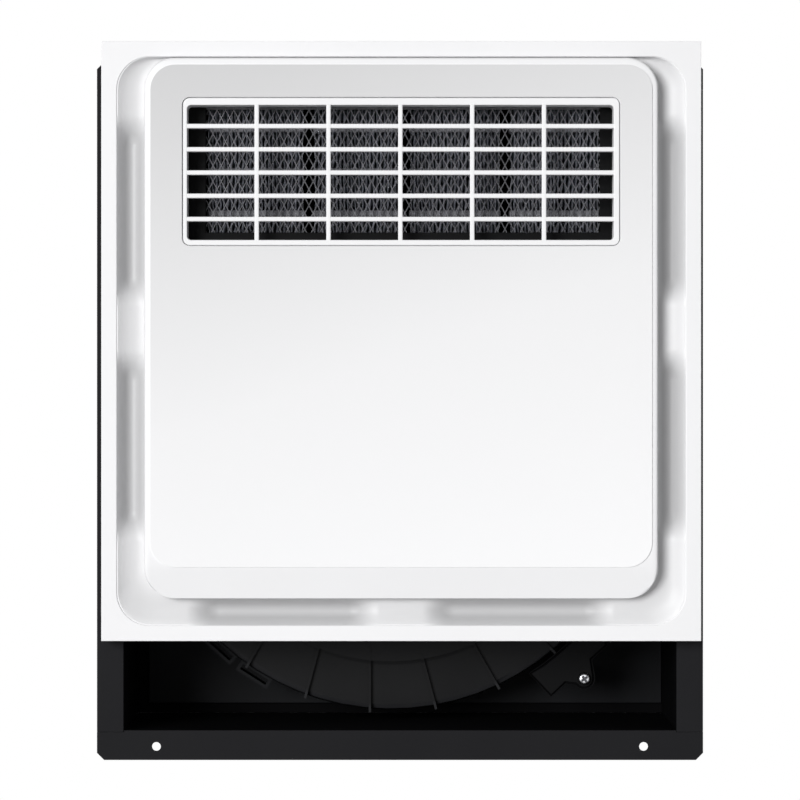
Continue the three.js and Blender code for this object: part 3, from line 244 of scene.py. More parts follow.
def new_finish(name, dark, light, gloss, cloud=14.0, grain=900.0, bump=0.02, depth=0.05 * mm,
               metallic=0.0, specular=0.5, stretch=(1, 1, 1)):
    material = bpy.data.materials.new(name)
    material.use_nodes = True
    tree = material.node_tree
    link = tree.links.new
    surface = tree.nodes["Principled BSDF"]
    set_inputs(surface, {"Metallic": metallic, "Specular IOR Level": specular})
    coordinates = tree.nodes.new("ShaderNodeTexCoord")
    mapping = tree.nodes.new("ShaderNodeMapping")
    set_inputs(mapping, {"Scale": stretch})
    link(coordinates.outputs["Object"], mapping.inputs["Vector"])

    clouds = tree.nodes.new("ShaderNodeTexNoise")
    set_inputs(clouds, {"Scale": cloud, "Detail": 4})
    link(mapping.outputs[0], clouds.inputs["Vector"])
    colours = tree.nodes.new("ShaderNodeValToRGB")
    colours.name = "colours"
    colours.color_ramp.elements[0].position = 0.3
    colours.color_ramp.elements[1].position = 0.7
    colours.color_ramp.elements[0].color = (*dark, 1)
    colours.color_ramp.elements[1].color = (*light, 1)
    link(clouds.outputs["Fac"], colours.inputs["Fac"])
    link(colours.outputs["Color"], surface.inputs["Base Color"])

    sheen = tree.nodes.new("ShaderNodeMapRange")
    set_inputs(sheen, {"To Min": gloss[0], "To Max": gloss[1]})
    link(clouds.outputs["Fac"], sheen.inputs["Value"])
    link(sheen.outputs[0], surface.inputs["Roughness"])

    grains = tree.nodes.new("ShaderNodeTexNoise")
    set_inputs(grains, {"Scale": grain, "Detail": 3})
    link(mapping.outputs[0], grains.inputs["Vector"])
    relief = tree.nodes.new("ShaderNodeBump")
    set_inputs(relief, {"Strength": bump, "Distance": depth})
    link(grains.outputs["Fac"], relief.inputs["Height"])
    link(relief.outputs[0], surface.inputs["Normal"])
    return material


# %% [markdown]
# Moulded white for the panel, several blacks, bare metals and a pale plastic. The blacks
# differ in gloss as much as in colour, which is how steel and plastic are told apart.

# %% Finishes of the pieces
finishes = {}


def add_finish(name, *tones, **choices):
    finishes[name] = new_finish(name, *tones, **choices)


add_finish("panel_white", (0.790, 0.790, 0.800), (0.808, 0.808, 0.818), (0.36, 0.48),
           cloud=9, grain=1400, bump=0.10, specular=0.3)
add_finish("black_steel", (0.0068, 0.0068, 0.0080), (0.0092, 0.0092, 0.0104), (0.56, 0.70),
           grain=1700, bump=0.25, depth=0.10 * mm, specular=0.09)
add_finish("plastic_black", (0.0030, 0.0031, 0.0034), (0.0044, 0.0045, 0.0049), (0.42, 0.56),
           cloud=30, grain=2600, bump=0.25, depth=0.08 * mm, specular=0.05)
add_finish("deck_black", (0.0058, 0.0062, 0.0072), (0.0082, 0.0087, 0.0100), (0.44, 0.58),
           cloud=26, grain=2600, bump=0.25, depth=0.08 * mm, specular=0.08)
# Painted shade for the inside of the housing and the trench of the wiring cover
add_finish("painted_shade_black", (0.0016, 0.0016, 0.0019), (0.0026, 0.0026, 0.0030), (0.62, 0.76),
           grain=1700, bump=0.25, depth=0.10 * mm, specular=0.03)
add_finish("scroll_black", (0.0045, 0.0046, 0.0051), (0.0063, 0.0064, 0.0071), (0.38, 0.50),
           cloud=22, grain=2600, bump=0.20, depth=0.08 * mm, specular=0.10)
add_finish("screw_zinc", (0.55, 0.56, 0.58), (0.72, 0.73, 0.75), (0.22, 0.38),
           cloud=700, grain=3000, bump=0.25, metallic=1.0)
add_finish("spring_steel", (0.48, 0.49, 0.51), (0.60, 0.61, 0.63), (0.22, 0.36),
           cloud=120, grain=2400, bump=0.2, metallic=1.0, stretch=(1, 0.08, 1))
add_finish("shaft_steel", (0.46, 0.46, 0.48), (0.58, 0.58, 0.60), (0.18, 0.30),
           cloud=300, grain=4000, bump=0.2, metallic=1.0, stretch=(1, 6, 1))
add_finish("motor_steel", (0.40, 0.41, 0.43), (0.52, 0.53, 0.55), (0.34, 0.50),
           cloud=60, grain=1500, bump=0.2, metallic=0.8)
add_finish("galvanised", (0.40, 0.42, 0.44), (0.58, 0.60, 0.62), (0.34, 0.52),
           cloud=160, grain=260, bump=0.12, metallic=0.9)
add_finish("mesh_steel", (0.07, 0.07, 0.077), (0.135, 0.137, 0.147), (0.42, 0.60),
           cloud=900, grain=3500, bump=0.3, metallic=0.5)
add_finish("heater_aluminium", (0.50, 0.51, 0.55), (0.84, 0.85, 0.90), (0.28, 0.46),
           cloud=420, grain=2800, bump=0.25, metallic=0.7)
add_finish("tube_aluminium", (0.085, 0.085, 0.093), (0.145, 0.145, 0.157), (0.48, 0.62),
           cloud=160, grain=1800, bump=0.25, metallic=0.4)
add_finish("recess_shade", (0.05, 0.05, 0.055), (0.11, 0.11, 0.12), (0.40, 0.60),
           cloud=900, grain=3000, bump=0.25, metallic=0.8)
add_finish("pad_rubber", (0.012, 0.012, 0.012), (0.022, 0.022, 0.022), (0.75, 0.92),
           cloud=200, grain=3000, bump=0.4, specular=0.25)
add_finish("pale_plastic", (0.66, 0.66, 0.62), (0.74, 0.74, 0.70), (0.42, 0.56),
           cloud=60, grain=1800, bump=0.25)
print("finishes", len(finishes))

# %% [markdown]
# ## Rounded outlines and skins
# Each panel piece is a stack of rounded rectangles, one inside the next. A flat face
# with its corners bevelled gives the first one. Its edge is then extruded from outline to
# outline, each corner keeping its direction, until it meets itself again. Bridging separate
# outlines would do too, but a bridge may twist where two outlines differ much.

# %% Shared mesh helpers
corner_steps = 12
weld_gap = 0.001 * mm
plane_gap = 0.01 * mm
smooth_angle = math.radians(32)
quarter_turns = [share * math.pi / 2 for share in (0.29, 0.71, 1.0)]


def mix(a, b, share):
    return a + (b - a) * share


def first_ring(bm, outline, steps=corner_steps):
    left, right, low, high, radius, y = outline
    corners = bmesh.ops.create_grid(bm, x_segments=1, y_segments=1, size=0.5)["verts"]
    for v in corners:
        v.co = (mix(left, right, v.co.x + 0.5), y, mix(low, high, v.co.y + 0.5))
    made = bmesh.ops.bevel(
        bm, geom=corners, offset=radius, offset_type="OFFSET", segments=steps,
        profile=0.5, affect="VERTICES", material=-1)
    face = made["verts"][0].link_faces[0]
    edges = list(face.edges)
    bmesh.ops.delete(bm, geom=[face], context="FACES_ONLY")
    return edges


def corner_of(outline, to_right, above):
    left, right, low, high, radius, y = outline
    return Vector((right - radius if to_right else left + radius, y,
                   high - radius if above else low + radius))


def skin(bm, outlines):
    edges = first_ring(bm, outlines[0])
    for near, far in zip(outlines, outlines[1:] + outlines[:1]):
        made = bmesh.ops.extrude_edge_only(bm, edges=edges)["geom"]
        edges = [g for g in made if isinstance(g, bmesh.types.BMEdge)]
        for v in (g for g in made if isinstance(g, bmesh.types.BMVert)):
            to_right = v.co.x > (near[0] + near[1]) / 2
            above = v.co.z > (near[2] + near[3]) / 2
            reach = (v.co - corner_of(near, to_right, above)) / near[4]
            v.co = corner_of(far, to_right, above) + reach * far[4]
    bmesh.ops.remove_doubles(bm, verts=bm.verts, dist=weld_gap)


def block(bm, x0, x1, y0, y1, z0, z1):
    made = bmesh.ops.create_cube(bm, size=1)["verts"]
    bmesh.ops.scale(bm, verts=made, vec=(x1 - x0, y1 - y0, z1 - z0))
    bmesh.ops.translate(bm, verts=made, vec=((x0 + x1) / 2, (y0 + y1) / 2, (z0 + z1) / 2))
    return made


def soften(bm, edges, width, steps=2):
    bmesh.ops.bevel(
        bm, geom=edges, offset=width, offset_type="OFFSET", segments=steps,
        profile=0.5, affect="EDGES", clamp_overlap=True, material=-1)


def add_piece(name, bm, finish, body, *stands_for):
    bmesh.ops.remove_doubles(bm, verts=bm.verts, dist=weld_gap)
    bmesh.ops.recalc_face_normals(bm, faces=bm.faces)
    mesh = bpy.data.meshes.new(name)
    bm.to_mesh(mesh)
    bm.free()
    mesh.shade_smooth()
    mesh.set_sharp_from_angle(angle=smooth_angle)
    piece = bpy.data.objects.new(name, mesh)
    bpy.context.scene.collection.objects.link(piece)
    even = piece.modifiers.new("even_shading", "WEIGHTED_NORMAL")
    even.keep_sharp = True
    mesh.materials.append(finishes[finish])
    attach(piece, body)
    if stands_for:
        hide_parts(*stands_for)
    print(name, len(mesh.polygons), "faces")
    return piece


# %% [markdown]
# ## The panel frame
# One thin moulding: a square rim with softly rounded edges, and a channel sunk round the
# plate. Six stretches of the channel are deeper, where the room's air goes in. The skin is
# drawn ring by ring, cut across where a deep stretch begins or ends, and then pushed back.

# %% Panel frame: its sizes
rim_low, rim_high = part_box("panel_frame")
plate_low, plate_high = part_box("cover_plate")
panel_front = rim_low.y
border = 7.8 * mm
recess_radius = 16.5 * mm
seat_radius = 15.5 * mm
seat_depth = 3.5 * mm
channel_depth = 4.2 * mm
intake_extra = 5.4 * mm
frame_wall = 1.6 * mm
rim_wall = 2 * mm
rim_edge = 0.25 * mm
least_radius = 0.05 * mm
lip_edge = 0.5 * mm
ledge_width = 5 * mm
seat_side = plate_low.x - rim_low.x
seat_bottom = plate_low.z - rim_low.z
seat_top = rim_high.z - plate_high.z
print("panel", [round(v / mm, 1) for v in rim_high - rim_low], "mm")


# %% Panel frame: outlines
def inset_outline(side, bottom, top, radius, y):
    return (
        rim_low.x + side, rim_high.x - side, rim_low.z + bottom, rim_high.z - top,
        max(radius, least_radius), y)


def even_outline(inset, radius, y):
    return inset_outline(inset, inset, inset, radius, y)


def channel_outline(across, y):
    return inset_outline(mix(border, seat_side, across), mix(border, seat_bottom, across),
        mix(border, seat_top, across), mix(recess_radius, seat_radius, across), y)


def seat_outline(extra, y):
    return inset_outline(seat_side + extra, seat_bottom + extra, seat_top + extra, seat_radius - extra, y)


# Depth of the channel at each share of its width, as a share of its full depth
channel_shares = [
    (0.04, 0.12), (0.1, 0.29), (0.18, 0.49), (0.27, 0.67), (0.36, 0.81), (0.46, 0.91),
    (0.56, 0.97), (0.66, 1.0), (0.76, 1.0), (0.86, 0.96), (0.94, 0.9),
]

bm = bmesh.new()
outlines = [even_outline(0, rim_edge, rim_high.y)]
outlines.append(even_outline(0, rim_edge, panel_front + rim_edge))
for turn in quarter_turns:
    outlines.append(even_outline(
        rim_edge * (1 - math.cos(turn)), rim_edge, panel_front + rim_edge * (1 - math.sin(turn))))
outlines.append(even_outline(border - lip_edge, recess_radius + lip_edge, panel_front))
for turn in quarter_turns:
    outlines.append(even_outline(
        border - lip_edge + lip_edge * math.sin(turn), recess_radius + lip_edge * (1 - math.sin(turn)),
        panel_front + lip_edge * (1 - math.cos(turn))))
for across, down in channel_shares:
    outlines.append(channel_outline(across, panel_front + channel_depth * down))
outlines.append(seat_outline(0, panel_front + seat_depth))
outlines.append(seat_outline(ledge_width, panel_front + seat_depth))
outlines.append(seat_outline(ledge_width, panel_front + seat_depth + frame_wall))
for across, down in reversed(channel_shares[3:]):
    outlines.append(channel_outline(across, panel_front + channel_depth * down + frame_wall))
outlines.append(even_outline(border - frame_wall, recess_radius + frame_wall, panel_front + channel_depth))
outlines.append(even_outline(border - frame_wall, recess_radius + frame_wall, panel_front + rim_wall))
outlines.append(even_outline(rim_wall, rim_edge, panel_front + rim_wall))
outlines.append(even_outline(rim_wall, rim_edge, rim_high.y))
skin(bm, outlines)
print("frame outlines", len(outlines), "faces", len(bm.faces))

# %% [markdown]
# The deep stretches: two down each side and two along the bottom. Cuts across the skin give
# the fade of each end enough steps to look smooth.

# %% Panel frame: deep stretches
intake_length = 97 * mm
intake_spacing = 21 * mm
intake_fade = 16 * mm
plate_middle_z = (rim_low.z + seat_bottom + rim_high.z - seat_top) / 2
intake_step = (intake_length + intake_spacing) / 2
intake_half = intake_length / 2


def intake_spans(middle):
    return [(middle + sign * intake_step - intake_half, middle + sign * intake_step + intake_half)
            for sign in (-1, 1)]


side_spans = intake_spans(plate_middle_z)
bottom_spans = intake_spans((rim_low.x + rim_high.x) / 2)
fade_cuts = 8


def cut_across(axis, spans):
    normal = Vector((0, 0, 0))
    normal[axis] = 1
    for span in spans:
        for end, inward in ((span[0], 1), (span[1], -1)):
            for i in range(fade_cuts + 1):
                point = normal * (end + inward * intake_fade * i / fade_cuts)
                everything = bm.verts[:] + bm.edges[:] + bm.faces[:]
                bmesh.ops.bisect_plane(bm, geom=everything, plane_co=point, plane_no=normal)


cut_across(2, side_spans)
cut_across(0, bottom_spans)
print("frame faces after the cuts", len(bm.faces))

# %% Panel frame: pushed back
swell_lean = 0.85
swell_fullness = 0.8
front_margin = 0.05 * mm
back_margin = 0.1 * mm


def smooth_step(share):
    share = min(max(share, 0), 1)
    return share * share * (3 - 2 * share)


def within(value, spans):
    return max(smooth_step((value - low) / intake_fade) * smooth_step((high - value) / intake_fade)
               for low, high in spans)


def channel_swell(across):
    if not 0 < across < 1:
        return 0
    return math.sin(math.pi * across ** swell_lean) ** swell_fullness


def intake_push(v):
    side_inset = min(v.co.x - rim_low.x, rim_high.x - v.co.x)
    beside = channel_swell((side_inset - border) / (seat_side - border))
    under = channel_swell((v.co.z - rim_low.z - border) / (seat_bottom - border))
    return max(beside * within(v.co.z, side_spans), under * within(v.co.x, bottom_spans))


for v in bm.verts:
    if panel_front + front_margin < v.co.y < rim_high.y - back_margin:
        v.co.y += intake_extra * intake_push(v)
panel_frame = add_piece("panel_frame_moulding", bm, "panel_white", "panel", "panel_frame")

# %% [markdown]
# The channel gets painted shade: the deeper it lies, the greyer its colour. The copy of the
# white finish reads the depth from the Object coordinates and multiplies the colour.

# %% Panel frame: its finish
# Painted shade: where the channel is deepest, its colour is multiplied down to this tone
channel_shade_tone = 0.58
shade_start = panel_front + 0.1 * mm
shade_end = panel_front + channel_depth + intake_extra * 0.6
painted_channel_shade = finishes["panel_white"].copy()
painted_channel_shade.name = "painted_channel_shade"
tree = painted_channel_shade.node_tree
coordinates = tree.nodes["Texture Coordinate"]
split = tree.nodes.new("ShaderNodeSeparateXYZ")
tree.links.new(coordinates.outputs["Object"], split.inputs[0])
deeper = tree.nodes.new("ShaderNodeMapRange")
set_inputs(deeper, {"From Min": shade_start, "From Max": shade_end, "To Min": 1.0,
                    "To Max": channel_shade_tone})
tree.links.new(split.outputs["Y"], deeper.inputs["Value"])
depth_shade = tree.nodes.new("ShaderNodeMix")
depth_shade.data_type = "RGBA"
depth_shade.blend_type = "MULTIPLY"
set_inputs(depth_shade, {"Factor": 1.0})
tree.links.new(tree.nodes["colours"].outputs["Color"], depth_shade.inputs["A"])
tree.links.new(deeper.outputs[0], depth_shade.inputs["B"])
tree.links.new(depth_shade.outputs["Result"], tree.nodes["Principled BSDF"].inputs["Base Color"])
panel_frame.data.materials[0] = painted_channel_shade
print("channel tone", channel_shade_tone)

# %% [markdown]
# ## The cover plate
# A shallow cap: a flat face, a thin step round it, a rounded bevel, and a deep chin below.
# The face gets its own finish, with painted shade at its upper left and painted light at its lower right.

# %% Cover plate: sizes and outlines
plate_front = plate_low.y
bevel_depth = 4.4 * mm
face_side = seat_side + 3 * mm
face_bottom = seat_bottom + 15.5 * mm
face_top = seat_top + 3.5 * mm
face_radius = 12.7 * mm
face_step = 0.55 * mm
step_width = 0.14 * mm
plate_wall = 2 * mm
grille_low, grille_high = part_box("outlet_grille")
grille_lip = 3 * mm
window_gap = 0.45 * mm
window_edge_width = 0.25 * mm
window_edge_depth = 0.3 * mm
window_drop = 0.4 * mm
window_radius = 3.6 * mm
window_low = Vector((grille_low.x + grille_lip, 0, grille_low.z + grille_lip))
window_high = Vector((grille_high.x - grille_lip, 0, grille_high.z - grille_lip - window_drop))


def plate_outline(share, y, extra=0.0):
    return inset_outline(
        mix(face_side, seat_side, share) + extra, mix(face_bottom, seat_bottom, share) + extra,
        mix(face_top, seat_top, share) + extra, mix(face_radius, seat_radius, share) - extra, y)


def window_outline(extra, y):
    return (
        window_low.x - extra, window_high.x + extra, window_low.z - extra,
        window_high.z + extra, window_radius + extra, y)


# How far the bevel has fallen back at each share of its width, as a share of its depth
bevel_shares = [(0.2, 0.0), (0.45, 0.01), (0.65, 0.04), (0.78, 0.1), (0.88, 0.22),
                (0.95, 0.42), (1.0, 0.85)]

bm = bmesh.new()
outlines = [
    window_outline(window_gap, plate_front + window_edge_depth),
    window_outline(window_gap + window_edge_width, plate_front),
    plate_outline(0, plate_front, step_width * 2),
    plate_outline(0, plate_front + step_width * 0.4, step_width),
    plate_outline(0, plate_front + face_step, step_width * 0.8),
    plate_outline(0, plate_front + face_step, 0),
]
for across, back in bevel_shares:
    outlines.append(plate_outline(across, plate_front + face_step + (bevel_depth - face_step) * back))
outlines.append(plate_outline(1, plate_high.y))
outlines.append(plate_outline(1, plate_high.y, plate_wall))
outlines.append(plate_outline(1, plate_front + bevel_depth + plate_wall / 2, plate_wall))
outlines.append(plate_outline(0, plate_front + plate_wall, plate_wall / 2))
outlines.append(window_outline(window_gap, plate_front + plate_wall))
skin(bm, outlines)
print("plate outlines", len(outlines), "faces", len(bm.faces))

# %% [markdown]
# Below the face the bevel would stay flat for most of its width. The chin slopes back
# evenly instead, so each point there is pushed to the slope unless it is already behind it.

# %% Cover plate: chin
chin_top = rim_low.z + face_bottom
chin_height = face_bottom - seat_bottom
chin_start = 0.01
chin_fall = 0.9
for v in bm.verts:
    below = (chin_top - v.co.z) / chin_height
    on_bevel = plate_front + face_step - plane_gap < v.co.y < plate_front + bevel_depth
    if below > chin_start and on_bevel:
        slope = plate_front + face_step + (bevel_depth - face_step) * below * chin_fall
        v.co.y = max(v.co.y, slope)
cover_plate = add_piece("cover_plate_moulding", bm, "panel_white", "panel", "cover_plate")

# %% [markdown]
# The face's own finish is painted shade and light, from grey at the upper left to white at the lower
# right. A dot product with a slanting direction turns the place on the face into a single number, and
# the colour ramp reads that instead of the clouds.

# %% Cover plate: the face's finish
slant_direction = (0.36, 0, -1)
slant_start = -0.215
slant_end = 0.125
# Painted shade at the upper left end of the ramp, painted light at the lower right end
end_tones = [(0.0, 0.555), (1.0, 0.865)]
middle_tones = [(0.28, 0.68), (0.55, 0.79)]
blue_lift = 1.01
face_margin = 0.02 * mm
painted_face_shading = new_finish(
    "painted_face_shading", (0.80, 0.80, 0.81), (0.80, 0.80, 0.81), (0.20, 0.30),
    cloud=7, grain=1400, bump=0.06)
tree = painted_face_shading.node_tree
coordinates = tree.nodes["Texture Coordinate"]
slant = tree.nodes.new("ShaderNodeVectorMath")
slant.operation = "DOT_PRODUCT"
slant.inputs[1].default_value = slant_direction
tree.links.new(coordinates.outputs["Object"], slant.inputs[0])
along = tree.nodes.new("ShaderNodeMapRange")
set_inputs(along, {"From Min": slant_start, "From Max": slant_end})
tree.links.new(slant.outputs["Value"], along.inputs["Value"])
shade = tree.nodes["colours"]
tree.links.new(along.outputs[0], shade.inputs["Fac"])
for element, (place, tone) in zip(shade.color_ramp.elements, end_tones):
    element.position = place
    element.color = (tone, tone, tone * blue_lift, 1)
for place, tone in middle_tones:
    shade.color_ramp.elements.new(place).color = (tone, tone, tone * blue_lift, 1)
cover_plate.data.materials.append(painted_face_shading)
for face in cover_plate.data.polygons:
    if face.center.y < plate_front + face_margin:
        face.material_index = 1
print("face polygons", sum(f.material_index for f in cover_plate.data.polygons))

# %% [markdown]
# ## The outlet grille
# A rim that lies flush in the plate's window, five upright and five level bars, and a collar
# that leads back to the duct. The rim is a skin like the plate's. The bars are blocks with
# rounded edges. The level ones stand a hair further back, so that no two faces share a plane.

# %% Outlet grille: rim and collar
rim_left = 2.0 * mm
rim_right = 2.8 * mm
rim_top = 3.5 * mm
rim_bottom = 2.6 * mm
grille_corner = 3.3 * mm
opening_corner = 2.0 * mm
grille_edge = 0.35 * mm
grille_front = grille_low.y
lip_gap = 0.3 * mm
lip_front = plate_front + plate_wall + lip_gap
lip_thickness = 2 * mm
collar_inset = 0.3 * mm


def grille_outline(extra, y):
    return (
        window_low.x - extra, window_high.x + extra, window_low.z - extra,
        window_high.z + extra, grille_corner + extra, y)


def opening_outline(extra, y):
    return (
        window_low.x + rim_left - extra, window_high.x - rim_right + extra,
        window_low.z + rim_bottom - extra, window_high.z - rim_top + extra,
        opening_corner + extra, y)


bm = bmesh.new()
outlines = [grille_outline(0, lip_front), grille_outline(0, grille_front + grille_edge)]
for turn in quarter_turns:
    outlines.append(grille_outline(
        -grille_edge * (1 - math.cos(turn)), grille_front + grille_edge * (1 - math.sin(turn))))
for turn in [0.0] + quarter_turns:
    outlines.append(opening_outline(
        grille_edge * (1 - math.sin(turn)), grille_front + grille_edge * (1 - math.cos(turn))))
outlines += [
    opening_outline(0, grille_high.y),
    grille_outline(-collar_inset, grille_high.y),
    grille_outline(-collar_inset, lip_front + lip_thickness),
    grille_outline(grille_lip, lip_front + lip_thickness),
    grille_outline(grille_lip, lip_front),
]
skin(bm, outlines)
print("grille outlines", len(outlines), "faces", len(bm.faces))

# %% Outlet grille: bars
bar_width = 2.25 * mm
bar_depth = 5 * mm
bar_round = 0.45 * mm
bar_back = 0.05 * mm
bar_cells = 6
opening_low = Vector((window_low.x + rim_left, 0, window_low.z + rim_bottom))
opening_high = Vector((window_high.x - rim_right, 0, window_high.z - rim_top))
pitch_x = (opening_high.x - opening_low.x + bar_width) / bar_cells
pitch_z = (opening_high.z - opening_low.z + bar_width) / bar_cells
bar_sink = rim_left / 2


def add_bar(bm, x0, x1, z0, z1, front):
    made = block(bm, x0, x1, front, front + bar_depth, z0, z1)
    along = 2 if z1 - z0 > x1 - x0 else 0
    edges = {e for v in made for e in v.link_edges
             if abs(e.verts[0].co[along] - e.verts[1].co[along]) > bar_width * 2}
    soften(bm, list(edges), bar_round, 3)


for i in range(1, bar_cells):
    x = opening_low.x + pitch_x * i - bar_width / 2
    add_bar(bm, x - bar_width / 2, x + bar_width / 2, opening_low.z - bar_sink,
            opening_high.z + bar_sink, grille_front + bar_back)
    z = opening_low.z + pitch_z * i - bar_width / 2
    add_bar(bm, opening_low.x - bar_sink, opening_high.x + bar_sink, z - bar_width / 2,
            z + bar_width / 2, grille_front + bar_back * 2)
add_piece("outlet_grille_moulding", bm, "panel_white", "panel", "outlet_grille")

# %% [markdown]
# ## The guard mesh
# Expanded steel with diamonds 4.2 mm wide and 8 mm high. Two runs of thin slanting strands
# cross, and planes trim them to the frame. A wire modifier on a grid could do it as well,
# but strands laid one by one keep the same width where they cross.

# %% Guard mesh
mesh_low, mesh_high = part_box("guard_mesh")
diamond_width = 4.2 * mm
diamond_height = 8.0 * mm
strand_width = 0.42 * mm
strand_depth = 0.5 * mm
strand_spare = 1.1
mesh_rim = 1.0 * mm
rim_inset = 0.02 * mm
strand_trim = 0.2 * mm
strand_apart = 0.1 * mm
mesh_middle = (mesh_low + mesh_high) / 2
strand_lean = math.atan2(diamond_width, diamond_height)
mesh_height = mesh_high.z - mesh_low.z
strand_length = mesh_height / math.cos(strand_lean) * strand_spare
strand_reach = mesh_height * math.tan(strand_lean)
strand_count = int((mesh_high.x - mesh_low.x + strand_reach * 2) / diamond_width)

bm = bmesh.new()
for lean in (-1, 1):
    for i in range(strand_count):
        made = block(bm, -strand_width / 2, strand_width / 2, -strand_depth / 2, strand_depth / 2,
                     -strand_length / 2, strand_length / 2)
        turn = Matrix.Rotation(lean * strand_lean, 3, "Y")
        bmesh.ops.rotate(bm, verts=made, matrix=turn)
        x = mesh_low.x - strand_reach + i * diamond_width
        bmesh.ops.translate(bm, verts=made, vec=(x, mesh_middle.y + lean * strand_apart, mesh_middle.z))
trims = [
    ((mesh_low.x + strand_trim, 0, 0), (-1, 0, 0)), ((mesh_high.x - strand_trim, 0, 0), (1, 0, 0)),
    ((0, 0, mesh_low.z + strand_trim), (0, 0, -1)), ((0, 0, mesh_high.z - strand_trim), (0, 0, 1)),
]
for point, outward in trims:
    everything = bm.verts[:] + bm.edges[:] + bm.faces[:]
    bmesh.ops.bisect_plane(bm, geom=everything, plane_co=point, plane_no=outward, clear_outer=True)
    open_edges = [e for e in bm.edges if e.is_boundary]
    bmesh.ops.holes_fill(bm, edges=open_edges, sides=0)
block(bm, mesh_low.x, mesh_high.x, mesh_low.y, mesh_high.y, mesh_low.z, mesh_low.z + mesh_rim)
block(bm, mesh_low.x, mesh_high.x, mesh_low.y, mesh_high.y, mesh_high.z - mesh_rim, mesh_high.z)
for near_x, far_x in ((mesh_low.x + rim_inset, mesh_low.x + mesh_rim),
                      (mesh_high.x - mesh_rim, mesh_high.x - rim_inset)):
    block(bm, near_x, far_x, mesh_low.y + rim_inset, mesh_high.y - rim_inset,
          mesh_low.z + mesh_rim / 2, mesh_high.z - mesh_rim / 2)
add_piece("guard_mesh_strands", bm, "mesh_steel", "housing", "guard_mesh")

# %% [markdown]
# ## The heating elements
# Each one is a corrugated aluminium fin glued to flat tubes with the heating stones inside.
# A grid is folded by moving its columns back and forth, with flat tips that catch the light,
# and solidify gives the foil its thickness. Real fins are never quite straight, so each fold
# wanders a little. The tubes get a duller finish than the fins.

# %% Heating elements: folds and tubes
fin_pitch = 1.95 * mm
fold_steepness = 2.6
fin_wander = 0.30 * mm
fin_wave = 7.5 * mm
fold_lag = 2.4
small_wave_share = 0.6
small_wave_turns = 9
small_fold_lag = 5.1
tube_pitch = 21.2 * mm
tube_rise = 1.4 * mm
tube_height = 3.2 * mm
tube_round = 0.8 * mm


def fold(share):
    share %= 1
    return min(max((1 - 4 * abs(share - 0.5)) * fold_steepness, -1), 1)


def wander(z, turns, number):
    slow = math.sin(z / fin_wave * math.tau + turns * fold_lag + number)
    quick = math.sin(turns * small_fold_lag + z / fin_wave * small_wave_turns)
    return fin_wander * (slow + small_wave_share * quick)


def add_tubes(bm, left, right, front, back, middle_z):
    for row in (-1, 0, 1):
        z = middle_z + tube_rise + row * tube_pitch
        before = set(bm.faces)
        made = block(bm, left, right, front, back, z - tube_height / 2, z + tube_height / 2)
        edges = {e for v in made for e in v.link_edges}
        soften(bm, list(edges), tube_round)
        for face in set(bm.faces) - before:
            face.material_index = 1


print("fold pitch", round(fin_pitch / mm, 2), "mm, tubes", round(tube_pitch / mm, 1), "mm apart")

# %% Heating elements: the four of them
fin_columns = 6
fin_rows = 30
foil = 0.14 * mm
fin_inset = 0.3 * mm
tube_recess = 0.9 * mm
fin_spans = [(-97.4, -47.9), (-43.9, 0.5), (4.5, 50.9), (55.0, 100.9)]


def heating_element(number):
    node = f"heating_element_{number}"
    low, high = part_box(node)
    middle = (low + high) / 2
    left, right = (edge * mm for edge in fin_spans[number - 1])
    folds = round((right - left) / fin_pitch)
    bm = bmesh.new()
    made = bmesh.ops.create_grid(
        bm, x_segments=folds * fin_columns, y_segments=fin_rows, size=0.5)["verts"]
    for v in made:
        across = v.co.x + 0.5
        z = mix(low.z + foil, high.z, v.co.y + 0.5)
        turns = across * folds
        x = mix(left + fin_pitch / 2, right - fin_pitch / 2, across) + wander(z, turns, number)
        reach = (high.y - low.y) / 2 - fin_inset
        y = middle.y + reach * fold(turns)
        v.co = (x, y, z)
    bmesh.ops.solidify(bm, geom=bm.faces[:], thickness=foil)
    add_tubes(bm, left, right, low.y + tube_recess, high.y, middle.z)
    piece = add_piece(f"{node}_fins", bm, "heater_aluminium", "housing", node)
    piece.data.materials.append(finishes["tube_aluminium"])


for number in (1, 2, 3, 4):
    heating_element(number)

# %% [markdown]
# ## Screws
# Pan heads with a cross recess. The profile of half a screw is spun round, the flat top is
# cut by planes into a cross, and the cross is pushed down. Each screw stands where the
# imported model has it: its seat is read from the frame, and only its direction is given.

# %% Screws: the shape
screw_sizes = {
    "small": {"head": 2.8 * mm, "height": 1.8 * mm, "shank": 1.4 * mm, "length": 2.2 * mm},
    "large": {"head": 3.1 * mm, "height": 2.1 * mm, "shank": 1.6 * mm, "length": 7.0 * mm},
}
# The outline of a head, as shares of its radius and of its height
head_outline = [(0.96, 0), (1, 0.12), (1, 0.45), (0.93, 0.74), (0.78, 0.93), (0.6, 1)]
screw_steps = 28
cross_half_width = 0.20
cross_half_length = 0.62
cross_depth = 0.55
cross_turn = math.radians(35)
level_gap = 1e-7


def spin_screw(bm, head, height, shank, length):
    profile = [(0, -length), (shank * 0.6, -length), (shank, -length + shank), (shank, 0)]
    profile += [(head * across, height * up) for across, up in head_outline]
    points = [bm.verts.new((r, 0, y)) for r, y in profile]
    line = [bm.edges.new(pair) for pair in zip(points, points[1:])]
    bmesh.ops.spin(bm, geom=points + line, cent=(0, 0, 0), axis=(0, 0, 1),
                   angle=math.tau, steps=screw_steps, use_merge=True)
    bmesh.ops.remove_doubles(bm, verts=bm.verts, dist=weld_gap)
    rim = [e for e in bm.edges if e.is_boundary]
    bmesh.ops.contextual_create(bm, geom=rim)


def top_faces(bm, height):
    return [f for f in bm.faces if abs(f.calc_center_median().z - height) < level_gap]


def in_cross(face, head):
    middle = face.calc_center_median()
    near, far = sorted((abs(middle.x), abs(middle.y)))
    return near < cross_half_width * head and far < cross_half_length * head


